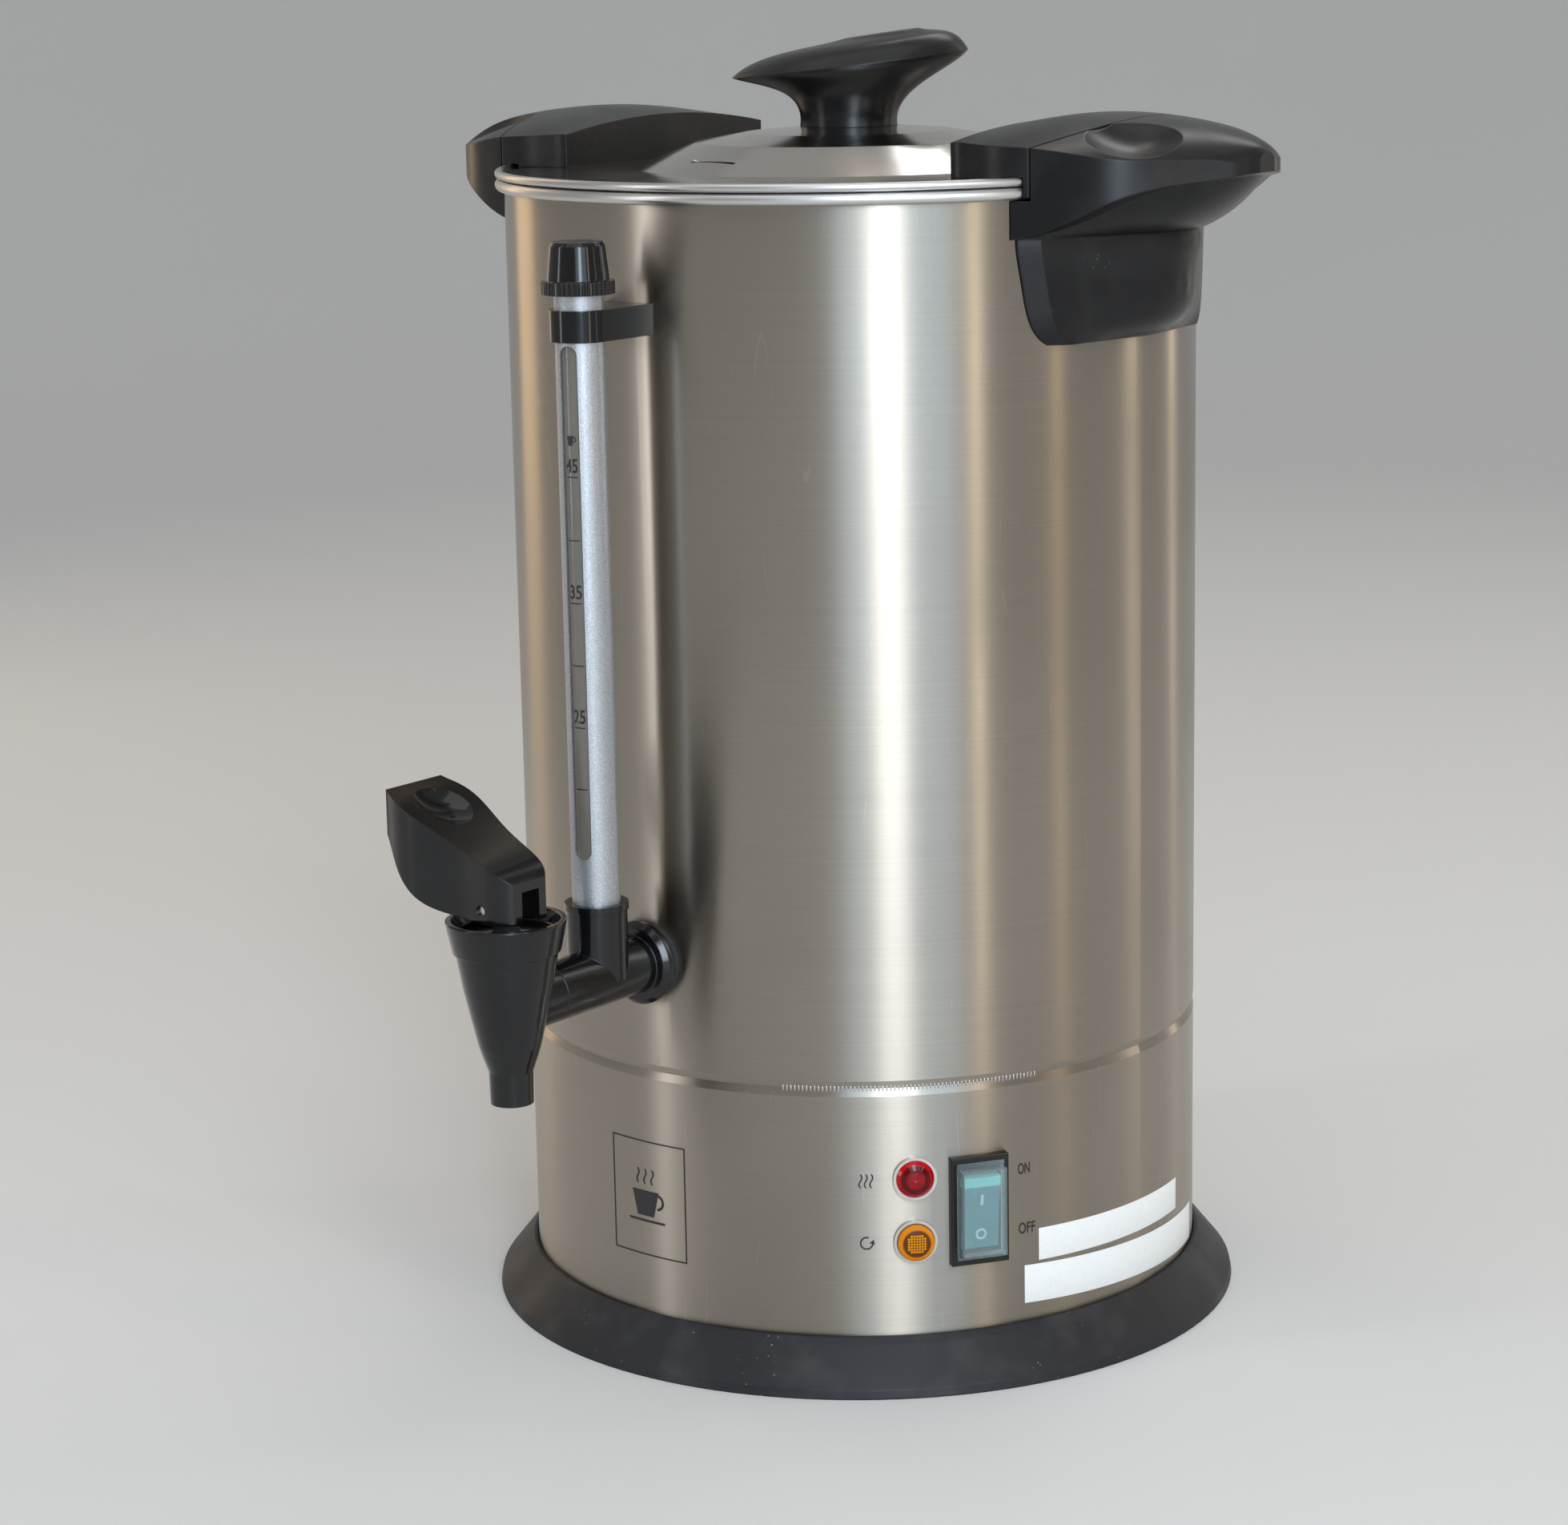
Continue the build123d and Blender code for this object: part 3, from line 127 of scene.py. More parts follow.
class NodeSheet:
    """Node tree of one finish, with short calls for the nodes that finishes share."""

    def __init__(self, name: str) -> None:
        """Starts a material with its shader and object coordinates.

        Args:
            name: Name of the material.
        """
        self.material = bpy.data.materials.new(name)
        self.material.use_nodes = True
        self.tree = self.material.node_tree
        self.shader = self.tree.nodes["Principled BSDF"]
        self.place = self.tree.nodes.new("ShaderNodeTexCoord").outputs["Object"]

    def set(self, **values: float | Colour) -> None:
        """Sets the shader's own sockets, by their names with _ for a space."""
        for key, value in values.items():
            socket = self.shader.inputs[key.replace("_", " ")]
            socket.default_value = (*value, 1.0) if isinstance(value, tuple) else value

    def drive(self, socket: str, source: Socket) -> None:
        """Joins a node's output to one of the shader's sockets."""
        self.tree.links.new(source, self.shader.inputs[socket])

    def mapped(self, stretch: Triple, turn: Triple = (0.0, 0.0, 0.0)) -> Socket:
        """Object coordinates, turned and stretched.

        Args:
            stretch: Scale along each axis.
            turn: Euler turn in radians.

        Returns:
            The coordinates.
        """
        node = self.tree.nodes.new("ShaderNodeMapping")
        node.inputs["Scale"].default_value = stretch
        node.inputs["Rotation"].default_value = turn
        self.tree.links.new(self.place, node.inputs["Vector"])
        return node.outputs["Vector"]

    def noise(self, scale: float, detail: float = 2.0, stretch: Triple | None = None,
              turn: Triple = (0.0, 0.0, 0.0)) -> Socket:
        """Noise from 0 to 1 on object coordinates.

        Args:
            scale: Cells per metre, times the stretch.
            detail: Octaves.
            stretch: Scale along each axis, where it isn't even.
            turn: Euler turn of the pattern.

        Returns:
            The noise.
        """
        node = self.tree.nodes.new("ShaderNodeTexNoise")
        node.inputs["Scale"].default_value = scale
        node.inputs["Detail"].default_value = detail
        place = self.mapped(stretch, turn) if stretch else self.place
        self.tree.links.new(place, node.inputs["Vector"])
        return node.outputs["Fac"]

    def span(self, value: Socket, low: float, high: float, to_low: float, to_high: float) -> Socket:
        """Clamped linear map of a value.

        Args:
            value: What is mapped.
            low: Value that gives to_low.
            high: Value that gives to_high.
            to_low: Result at low.
            to_high: Result at high.

        Returns:
            The mapped value.
        """
        node = self.tree.nodes.new("ShaderNodeMapRange")
        for key, number in (("From Min", low), ("From Max", high), ("To Min", to_low), ("To Max", to_high)):
            node.inputs[key].default_value = number
        self.tree.links.new(value, node.inputs["Value"])
        return node.outputs["Result"]

    def math(self, operation: str, first: Socket, second: Socket | float) -> Socket:
        """Two values joined by a math node.

        Args:
            operation: Blender's name of the operation.
            first: First value.
            second: Second value, an output or a number.

        Returns:
            The result.
        """
        node = self.tree.nodes.new("ShaderNodeMath")
        node.operation = operation
        self.tree.links.new(first, node.inputs[0])
        if isinstance(second, (int, float)):
            node.inputs[1].default_value = second
        else:
            self.tree.links.new(second, node.inputs[1])
        return node.outputs[0]

    def mix(self, factor: Socket, first: Colour | Socket, second: Colour | Socket) -> Socket:
        """Blend of two colours.

        Args:
            factor: 0 for the first colour, 1 for the second.
            first: A colour, or an output that gives one.
            second: A colour, or an output that gives one.

        Returns:
            The blended colour.
        """
        node = self.tree.nodes.new("ShaderNodeMix")
        node.data_type = "RGBA"
        self.tree.links.new(factor, node.inputs[0])
        for index, colour in ((6, first), (7, second)):
            if isinstance(colour, tuple):
                node.inputs[index].default_value = (*colour, 1.0)
            else:
                self.tree.links.new(colour, node.inputs[index])
        return node.outputs[2]

    def tones(self, factor: Socket, colour: Colour, low: float, high: float) -> Socket:
        """Blend of two tones of one colour.

        Args:
            factor: 0 for the first tone, 1 for the second.
            colour: The colour.
            low: Brightness of the first tone.
            high: Brightness of the second tone.

        Returns:
            The blended colour.
        """
        return self.mix(factor, shade(colour, low), shade(colour, high))

    def hairs(self, scale: float, width: float, stretch: Triple, turn: Triple, share: float) -> Socket:
        """Scattered hairlines, where a stretched noise crosses its middle.

        Args:
            scale: Scale of the noise.
            width: Half width of a line, in noise.
            stretch: Stretch of the noise.
            turn: Turn of the noise.
            share: Level above which a second noise lets lines show.

        Returns:
            1 on a line and 0 off it.
        """
        middle = self.math("SUBTRACT", self.noise(scale, 0.0, stretch, turn), 0.5)
        line = self.span(self.math("ABSOLUTE", middle, 0.0), 0.0, width, 1.0, 0.0)
        patch = self.span(self.noise(0.5 * scale, 2.0), share, share + 0.04, 0.0, 1.0)
        return self.math("MULTIPLY", line, patch)

    def cells(self, scale: float) -> Socket:
        """Distance from the nearest of scattered points.

        Args:
            scale: Cells per metre.

        Returns:
            The distance, in cells.
        """
        node = self.tree.nodes.new("ShaderNodeTexVoronoi")
        node.inputs["Scale"].default_value = scale
        self.tree.links.new(self.place, node.inputs["Vector"])
        return node.outputs["Distance"]

    def axis_distance(self, centre: Vector, along: Vector) -> Socket:
        """Distance from a straight line.

        Args:
            centre: A point on the line.
            along: Unit direction of the line.

        Returns:
            The distance, in metres.
        """
        source = self.place
        for operation, value in (("SUBTRACT", centre), ("CROSS_PRODUCT", along), ("LENGTH", along)):
            node = self.tree.nodes.new("ShaderNodeVectorMath")
            node.operation = operation
            self.tree.links.new(source, node.inputs[0])
            node.inputs[1].default_value = value
            source = node.outputs["Value" if operation == "LENGTH" else "Vector"]
        return source

    def specks(self, scale: float, level: float) -> Socket:
        """Small scattered dots.

        Args:
            scale: Cells per metre.
            level: Distance from a cell's point within which the dot shows.

        Returns:
            1 in a dot and 0 outside it.
        """
        dot = self.span(self.cells(scale), level, 0.6 * level, 0.0, 1.0)
        patch = self.span(self.noise(0.11 * scale, 3.0), 0.55, 0.7, 0.0, 1.0)
        return self.math("MULTIPLY", dot, patch)

    def bump(self, height: Socket, strength: float, depth: float, edge: float = 0.0) -> None:
        """Bumps the shader's normal, over edges that are softened where asked.

        Args:
            height: Height from 0 to 1.
            strength: Share of the bump that shows.
            depth: Depth in metres.
            edge: Radius that softens edges.
        """
        node = self.tree.nodes.new("ShaderNodeBump")
        if edge:
            soft = self.tree.nodes.new("ShaderNodeBevel")
            soft.samples = 6
            soft.inputs["Radius"].default_value = edge
            self.tree.links.new(soft.outputs["Normal"], node.inputs["Normal"])
        node.inputs["Strength"].default_value = strength
        node.inputs["Distance"].default_value = depth
        self.tree.links.new(height, node.inputs["Height"])
        self.drive("Normal", node.outputs["Normal"])


def shade(colour: Colour, factor: float) -> Colour:
    """A colour made darker or lighter by a factor."""
    return tuple(min(1.0, channel * factor) for channel in colour)


@dataclass(frozen=True)
class BrushedSteel:
    """Stainless sheet brushed around the tank's axis.

    Attributes:
        name: Name of the finish.
        colour: Colour of the metal.
        roughness: Mean roughness.
        pull: How far the brush lines draw a highlight up and down.
        lines: Depth of the brush lines, in metres.
        long_stretch: Stretch of the noise that gives the long brush lines.
        short_stretch: Stretch of the noise that gives the short ones.
        scratches: Scale, turn and share of each set of scratches.
    """

    name: str
    colour: Colour
    roughness: float
    pull: float
    lines: float
    long_stretch: Triple = (9.0, 9.0, 2600.0)
    short_stretch: Triple = (60.0, 60.0, 5200.0)
    scratches: tuple = ((70.0, (0.7, 0.5, 0.2), 0.6), (90.0, (-0.3, -0.25, 1.0), 0.61))

    def make(self) -> Material:
        """Builds the material."""
        sheet = NodeSheet(self.name)
        long_lines = sheet.noise(1.0, 3.0, self.long_stretch)
        short_lines = sheet.noise(1.0, 2.0, self.short_stretch)
        clouds = sheet.noise(9.0, 4.0)
        first, second = (sheet.hairs(scale, 0.006, (1.0, 1.0, 0.1), turn, share)
                         for scale, turn, share in self.scratches)
        scratches = sheet.math("MAXIMUM", first, second)
        specks = sheet.specks(420.0, 0.09)
        tone = sheet.tones(sheet.span(long_lines, 0.3, 0.7, 0.0, 1.0), self.colour, 0.96, 1.04)
        tone = sheet.mix(sheet.span(clouds, 0.45, 0.75, 0.0, 0.3), tone, shade(self.colour, 0.82))
        tone = sheet.mix(sheet.math("MULTIPLY", specks, 0.5), tone, shade(self.colour, 0.35))
        sheet.drive("Base Color", sheet.mix(scratches, tone, shade(self.colour, 1.3)))
        rough = sheet.span(long_lines, 0.25, 0.75, self.roughness - 0.025, self.roughness + 0.025)
        rough = sheet.math("ADD", rough, sheet.span(clouds, 0.4, 0.75, -0.02, 0.06))
        sheet.drive("Roughness", sheet.math("ADD", rough, sheet.math("MULTIPLY", scratches, 0.2)))
        tangent = sheet.tree.nodes.new("ShaderNodeTangent")
        tangent.direction_type = "RADIAL"
        tangent.axis = "Z"
        sheet.drive("Tangent", tangent.outputs["Tangent"])
        sheet.set(Metallic=1.0, Anisotropic=self.pull, Anisotropic_Rotation=0.25)
        sheet.bump(sheet.math("ADD", long_lines, short_lines), 0.5, self.lines)
        return sheet.material


@dataclass(frozen=True)
class PlainMetal:
    """Polished or plain metal with faint clouds and hairlines.

    Attributes:
        name: Name of the finish.
        colour: Colour of the metal.
        roughness: Mean roughness.
        grain: Depth of its surface grain, in metres.
    """

    name: str
    colour: Colour
    roughness: float
    grain: float

    def make(self) -> Material:
        """Builds the material."""
        sheet = NodeSheet(self.name)
        clouds = sheet.noise(24.0, 4.0)
        scratches = sheet.hairs(30.0, 0.002, (1.0, 1.0, 1.0), (0.2, 0.5, 0.9), 0.6)
        tone = sheet.tones(clouds, self.colour, 0.92, 1.05)
        sheet.drive("Base Color", sheet.mix(scratches, tone, shade(self.colour, 1.25)))
        rough = sheet.span(clouds, 0.3, 0.75, 0.8 * self.roughness, 1.5 * self.roughness)
        sheet.drive("Roughness", sheet.math("ADD", rough, sheet.math("MULTIPLY", scratches, 0.15)))
        sheet.set(Metallic=1.0)
        sheet.bump(sheet.noise(1500.0, 1.0), 0.1, self.grain)
        return sheet.material


@dataclass(frozen=True)
class Moulded:
    """Moulded plastic or rubber with its skin grain, handling marks and dust.

    Attributes:
        name: Name of the finish.
        colour: Colour of the plastic.
        roughness: Mean roughness.
        grain: Depth of the skin grain, in metres.
        dust: How much pale dust lies on it, from 0 to 1.
        gloss: Weight of the clear skin on top.
        edge: Radius that softens its edges.
        shine: Level of its reflection, where 0.5 is common plastic.
    """

    name: str
    colour: Colour
    roughness: float
    grain: float
    dust: float = 0.0
    gloss: float = 0.0
    edge: float = 0.0
    shine: float = 0.5

    def make(self) -> Material:
        """Builds the material."""
        sheet = NodeSheet(self.name)
        clouds = sheet.noise(34.0, 4.0)
        skin = sheet.noise(1900.0, 2.0)
        tone = sheet.tones(clouds, self.colour, 0.86, 1.16)
        if self.dust:
            film = sheet.span(sheet.noise(60.0, 5.0), 0.5, 0.8, 0.0, 0.12 * self.dust)
            tone = sheet.mix(film, tone, DUST_FILM)
            specks = sheet.math("MULTIPLY", sheet.specks(420.0, 0.13), 0.9 * self.dust)
            tone = sheet.mix(specks, tone, DUST_SPECK)
        sheet.drive("Base Color", tone)
        sheet.drive("Roughness", sheet.span(clouds, 0.25, 0.8, 0.8 * self.roughness, 1.25 * self.roughness))
        sheet.set(Coat_Weight=self.gloss, Coat_Roughness=0.08, Specular_IOR_Level=self.shine)
        sheet.bump(skin, 0.35, self.grain, self.edge)
        return sheet.material


@dataclass(frozen=True)
class SilverSleeve:
    """Silver sleeve with a fine sparkling grain.

    Attributes:
        name: Name of the finish.
        colour: Colour of the silver.
        roughness: Mean roughness.
    """

    name: str
    colour: Colour
    roughness: float

    def make(self) -> Material:
        """Builds the material."""
        sheet = NodeSheet(self.name)
        sparkle = sheet.noise(2600.0, 2.0)
        clouds = sheet.noise(40.0, 3.0)
        glint = sheet.span(sparkle, 0.35, 0.7, 0.0, 1.0)
        sheet.drive("Base Color", sheet.tones(glint, self.colour, 0.78, 1.2))
        sheet.drive("Roughness", sheet.span(clouds, 0.3, 0.7, self.roughness - 0.06, self.roughness + 0.08))
        sheet.set(Metallic=0.75)
        sheet.bump(sparkle, 0.4, 0.00008)
        return sheet.material


@dataclass(frozen=True)
class Clear:
    """Clear or tinted plastic that light passes through.

    Attributes:
        name: Name of the finish.
        colour: Tint.
        roughness: Mean roughness.
        passing: Share of the light that passes.
        index: Refractive index.
    """

    name: str
    colour: Colour
    roughness: float
    passing: float
    index: float

    def make(self) -> Material:
        """Builds the material."""
        sheet = NodeSheet(self.name)
        clouds = sheet.noise(90.0, 3.0)
        sheet.drive("Base Color", sheet.tones(clouds, self.colour, 0.92, 1.06))
        sheet.drive("Roughness", sheet.span(clouds, 0.3, 0.75, 0.7 * self.roughness, 1.5 * self.roughness))
        sheet.set(Transmission_Weight=self.passing, IOR=self.index)
        sheet.bump(sheet.noise(260.0, 2.0), 0.05, 0.0001)
        return sheet.material


@dataclass(frozen=True)
class DomeLens:
    """Tinted dome with a painted highlight on its rim, painted shade in the ring inside it and a stippled
    disc in its middle.

    Attributes:
        name: Name of the finish.
        height: Height of the dome's middle on the panel.
        rim: Colour at its edge, brightened as a painted highlight.
        ring: Colour of the ring inside the rim, darkened as painted shade.
        disc: Colour of the disc.
        disc_radius: Radius of the disc.
        ring_radius: Outer radius of the ring.
        soft: Half width of the change from one tone to the next.
    """

    name: str
    height: float
    rim: Colour
    ring: Colour
    disc: Colour
    disc_radius: float
    ring_radius: float
    soft: float = 0.35 * MM

    def make(self) -> Material:
        """Builds the material."""
        sheet = NodeSheet(self.name)
        centre = on_azimuth(PANEL_AZIMUTH, SHELL_RADIUS, self.height)
        reach = sheet.axis_distance(centre, on_azimuth(PANEL_AZIMUTH, 1.0, 0.0))
        stipple = sheet.span(sheet.cells(1500.0), 0.25, 0.55, 0.0, 0.55)
        tone = sheet.mix(stipple, self.disc, self.ring)
        # Painted shade in the ring and a painted highlight on the rim, in place of the dome's own
        # refraction and reflection.
        for edge, colour in ((self.disc_radius, self.ring), (self.ring_radius, self.rim)):
            tone = sheet.mix(sheet.span(reach, edge - self.soft, edge + self.soft, 0.0, 1.0), tone, colour)
        sheet.drive("Base Color", tone)
        sheet.drive("Roughness", sheet.span(sheet.noise(90.0, 3.0), 0.3, 0.75, 0.05, 0.11))
        sheet.set(Transmission_Weight=0.15, IOR=1.49, Specular_IOR_Level=0.25)
        sheet.bump(sheet.noise(260.0, 2.0), 0.05, 0.0001)
        return sheet.material


@dataclass(frozen=True)
class PaintedHighlightRocker:
    """Coloured rocker whose upper end is painted brighter, a painted highlight where light falls on it.

    Attributes:
        name: Name of the finish.
        colour: Colour of the rocker.
        tip: Colour of its upper end, a painted highlight.
        tip_height: Height above which the painted highlight shows.
        soft: Half width of the change between them.
    """

    name: str
    colour: Colour
    tip: Colour
    tip_height: float
    soft: float = 0.3 * MM

    def make(self) -> Material:
        """Builds the material."""
        sheet = NodeSheet(self.name)
        clouds = sheet.noise(120.0, 3.0)
        parts = sheet.tree.nodes.new("ShaderNodeSeparateXYZ")
        sheet.tree.links.new(sheet.place, parts.inputs["Vector"])
        low, high = self.tip_height - self.soft, self.tip_height + self.soft
        tone = sheet.tones(clouds, self.colour, 0.85, 1.15)
        # Painted highlight: the upper end is blended toward a brighter colour.
        tone = sheet.mix(sheet.span(parts.outputs["Z"], low, high, 0.0, 1.0), tone, self.tip)
        sheet.drive("Base Color", tone)
        sheet.drive("Roughness", sheet.span(clouds, 0.3, 0.75, 0.18, 0.32))
        sheet.set(Coat_Weight=0.5, Coat_Roughness=0.08)
        sheet.bump(sheet.noise(1900.0, 2.0), 0.35, 0.00001)
        return sheet.material


@dataclass(frozen=True)
class Ink:
    """Printed ink or a paper label, with a slightly uneven tone.

    Attributes:
        name: Name of the finish.
        colour: Colour of the print.
        roughness: Mean roughness.
    """

    name: str
    colour: Colour
    roughness: float

    def make(self) -> Material:
        """Builds the material."""
        sheet = NodeSheet(self.name)
        fibre = sheet.noise(700.0, 4.0)
        sheet.drive("Base Color", sheet.tones(fibre, self.colour, 0.93, 1.05))
        sheet.drive("Roughness", sheet.span(fibre, 0.3, 0.7, self.roughness - 0.05, self.roughness + 0.08))
        sheet.bump(fibre, 0.1, 0.00003)
        return sheet.material


FINISHES = {
    Slot.BRUSHED: BrushedSteel("brushed_steel_sheet", (0.372, 0.333, 0.285), 0.32, 0.96, 0.000003),
    Slot.POLISHED: PlainMetal("polished_lid_sheet", (0.56, 0.535, 0.50), 0.12, 0.000004),
    Slot.STAINLESS: PlainMetal("plain_stainless", (0.62, 0.61, 0.60), 0.28, 0.00002),
    Slot.FASTENER: PlainMetal("bright_fasteners", (0.55, 0.54, 0.52), 0.25, 0.00002),
    Slot.HEATER: PlainMetal("heater_rod", (0.30, 0.28, 0.26), 0.5, 0.00004),
    Slot.SATIN: Moulded("satin_black_moulding", (0.006, 0.006, 0.0066), 0.30, 0.00003,
                        dust=0.22, edge=0.0007, shine=0.30),
    Slot.GLOSS: Moulded("gloss_black_moulding", (0.004, 0.004, 0.0045), 0.14, 0.00001,
                        dust=0.05, gloss=0.25, edge=0.0005, shine=0.34),
    Slot.CHARCOAL: Moulded("charcoal_base_moulding", (0.014, 0.014, 0.017), 0.5, 0.00004,
                           dust=0.5, edge=0.0008, shine=0.36),
    Slot.COLLAR: Moulded("pale_collar", (0.50, 0.47, 0.43), 0.22, 0.00001, gloss=0.5),
    Slot.STEM: Moulded("plain_stem", (0.05, 0.05, 0.052), 0.35, 0.00002),
    Slot.TERMINAL: Moulded("terminal_moulding", (0.55, 0.52, 0.45), 0.45, 0.00003),
    Slot.WIRE: Moulded("wire_cover", (0.42, 0.05, 0.04), 0.45, 0.00002),
    Slot.RUBBER: Moulded("black_rubber", (0.018, 0.018, 0.018), 0.7, 0.00005, dust=0.3),
    Slot.SLEEVE: SilverSleeve("silver_sleeve", (0.46, 0.47, 0.49), 0.42),
    Slot.TUBE: Clear("clear_gauge_tube", (0.19, 0.172, 0.148), 0.12, 0.25, 1.48),
    Slot.BOOT: Clear("clear_switch_boot", (0.80, 0.93, 0.96), 0.14, 0.89, 1.4),
    # The rocker's brighter upper end is a painted highlight.
    Slot.ROCKER: PaintedHighlightRocker("aqua_rocker", (0.045, 0.27, 0.30), (0.30, 0.88, 0.78), 64.6 * MM),
    # The lenses' dark rings are painted shade and their bright rims are painted highlights.
    Slot.LENS: DomeLens("red_lamp_lens", LAMP_HEIGHT, (0.52, 0.001, 0.006), (0.10, 0.0005, 0.002),
                        (0.44, 0.001, 0.009), 2.8 * MM, 4.8 * MM),
    Slot.AMBER: DomeLens("amber_button_lens", BUTTON_HEIGHT, (0.78, 0.24, 0.001), (0.12, 0.030, 0.0005),
                         (0.16, 0.045, 0.0005), 3.3 * MM, 4.5 * MM),
}
BLACK_INK = Ink("black_print", (0.012, 0.012, 0.013), 0.45)
WHITE_LABEL = Ink("white_label_tape", (0.82, 0.82, 0.80), 0.38)
PALE_INK = Ink("pale_print", (0.80, 0.88, 0.88), 0.4)
AMBER_GRID = Clear("amber_grid", (0.85, 0.36, 0.006), 0.10, 0.1, 1.49)


class Palette:
    """Every finish as a material, each made once."""

    def __init__(self) -> None:
        """Makes the materials of the record's slots and of the prints."""
        self.slots = {slot.value: finish.make() for slot, finish in FINISHES.items()}
        self.black_ink = BLACK_INK.make()
        self.white_label = WHITE_LABEL.make()
        self.pale_ink = PALE_INK.make()
        self.amber_grid = AMBER_GRID.make()

    def dress_frame(self) -> None:
        """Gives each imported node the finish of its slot."""
        for row in frame["record"]["subparts"]:
            node = frame["nodes"][row["node"]]
            for index in range(len(node.data.materials)):
                node.data.materials[index] = self.slots[row["material_slot"]]
            log.info("finish %s on %s", row["material_slot"], row["node"])


class Piece:
    """A new mesh piece, shaped in a bmesh and then set in the frame."""

    def __init__(self, name: str) -> None:
        """Starts an empty bmesh.

        Args:
            name: Name of the finished object.
        """
        self.name = name
        self.mesh = bmesh.new()

    def settle(self, material: Material, body: Body, slot: Slot, *replaced: str,
               smooth: bool = True) -> Object:
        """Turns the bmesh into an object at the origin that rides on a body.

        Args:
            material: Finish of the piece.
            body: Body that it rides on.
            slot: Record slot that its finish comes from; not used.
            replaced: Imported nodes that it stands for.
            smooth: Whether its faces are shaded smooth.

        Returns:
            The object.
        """
        data = bpy.data.meshes.new(self.name)
        for face in self.mesh.faces:
            face.smooth = smooth
        self.mesh.to_mesh(data)
        self.mesh.free()
        data.materials.append(material)
        piece = bpy.data.objects.new(self.name, data)
        bpy.context.scene.collection.objects.link(piece)
        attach(piece, body.value)
        if replaced:
            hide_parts(*replaced)
        log.info("piece %s, %d faces", self.name, len(data.polygons))
        return piece

    def move(self, verts: list, x: float, y: float) -> None:
        """Shifts vertices in the piece's XY plane."""
        bmesh.ops.translate(self.mesh, vec=(x, y, 0.0), verts=verts)

    def turn(self, verts: list, degrees: float) -> None:
        """Turns vertices about the piece's Z axis."""
        matrix = Matrix.Rotation(math.radians(degrees), 3, "Z")
        bmesh.ops.rotate(self.mesh, verts=verts, cent=(0, 0, 0), matrix=matrix)

    def strip(self, width: float, height: float, at: Pair = (0.0, 0.0), cuts: int = 8) -> list:
        """Flat strip in the piece's XY plane, cut across so that it can bend.

        Args:
            width: Size along X.
            height: Size along Y.
            at: Centre of the strip.
            cuts: Number of cells along X.

        Returns:
            Its vertices.
        """
        made = bmesh.ops.create_grid(self.mesh, x_segments=cuts, y_segments=1, size=0.5)
        bmesh.ops.scale(self.mesh, vec=(width, height, 1.0), verts=made["verts"])
        self.move(made["verts"], *at)
        return made["verts"]

    def wave(self, at: Pair, size: Pair, swing: float, cuts: int) -> None:
        """Upright wavy line.

        Args:
            at: Its middle.
            size: Its height and the width of the stroke.
            swing: How far it swings to each side.
            cuts: Number of cells along it.
        """
        for vert in self.strip(*size, cuts=cuts):
            along, across = vert.co.x, vert.co.y
            vert.co.x = at[0] + across + swing * math.sin(math.tau * along / size[0])
            vert.co.y = at[1] + along

    def bowl(self, size: Pair, at: Pair, foot: float, cuts: int) -> None:
        """Outline of a cup that narrows downward.

        Args:
            size: Width at the top, and height.
            at: Its middle.
            foot: Share of the width that is left at the foot.
            cuts: Number of cells across it.
        """
        for vert in self.strip(*size, at, cuts):
            if vert.co.y < at[1]:
                vert.co.x = at[0] + foot * (vert.co.x - at[0])

    def hoop(self, radius: float, wire: float, height: float, segments: int) -> list:
        """Upright circle beside the Z axis, ready to be spun about it.

        Args:
            radius: Distance of its middle from the axis.
            wire: Its own radius.
            height: Height of its middle.
            segments: Number of its edges.

        Returns:
            Its vertices and edges.
        """
        made = bmesh.ops.create_circle(self.mesh, cap_ends=False, segments=segments, radius=wire)
        quarter = Matrix.Rotation(math.radians(90.0), 4, "X")
        place = Matrix.Translation((radius, 0.0, height)) @ quarter
        bmesh.ops.transform(self.mesh, matrix=place, verts=made["verts"])
        return made["verts"] + list(self.mesh.edges)

    def ring(self, radius: float, width: float, start: float, sweep: float, steps: int) -> list:
        """Flat ring or arc in the piece's XY plane.

        Args:
            radius: Mean radius.
            width: Width of the stroke.
            start: First angle, in degrees from +X.
            sweep: Angle covered, in degrees.
            steps: Number of segments.

        Returns:
            Its vertices.
        """
        inner = self.mesh.verts.new((radius - width / 2, 0.0, 0.0))
        outer = self.mesh.verts.new((radius + width / 2, 0.0, 0.0))
        edge = self.mesh.edges.new((inner, outer))
        before = set(self.mesh.verts) - {inner, outer}
        self.turn([inner, outer], start)
        bmesh.ops.spin(self.mesh, geom=[inner, outer, edge], cent=(0, 0, 0), axis=(0, 0, 1),
                       angle=math.radians(sweep), steps=steps, use_merge=sweep >= 360.0)
        return [vert for vert in self.mesh.verts if vert not in before]

    def letters(self, text: str, size: Pair, at: Pair) -> None:
        """Plain characters in the piece's XY plane, centred on a point.

        Args:
            text: The characters.
            size: Width of them all and height of a capital, in metres.
            at: Centre.
        """
        wide, tall = size
        curve = bpy.data.curves.new(self.name + "_text", "FONT")
        curve.body = text
        curve.align_x = "CENTER"
        curve.align_y = "CENTER"
        curve.size = tall / CAPITAL_SHARE
        curve.offset = STROKE_SHARE * curve.size
        carrier = bpy.data.objects.new(self.name + "_text", curve)
        bpy.context.scene.collection.objects.link(carrier)
        bpy.context.view_layer.update()
        ready = carrier.evaluated_get(bpy.context.evaluated_depsgraph_get())
        flat = bpy.data.meshes.new_from_object(ready)
        before = set(self.mesh.verts)
        self.mesh.from_mesh(flat)
        bpy.data.objects.remove(carrier)
        bpy.data.curves.remove(curve)
        bpy.data.meshes.remove(flat)
        made = [vert for vert in self.mesh.verts if vert not in before]
        spread = max(vert.co.x for vert in made) - min(vert.co.x for vert in made)
        bmesh.ops.scale(self.mesh, vec=(wide / spread, 1.0, 1.0), verts=made)
        self.move(made, *at)

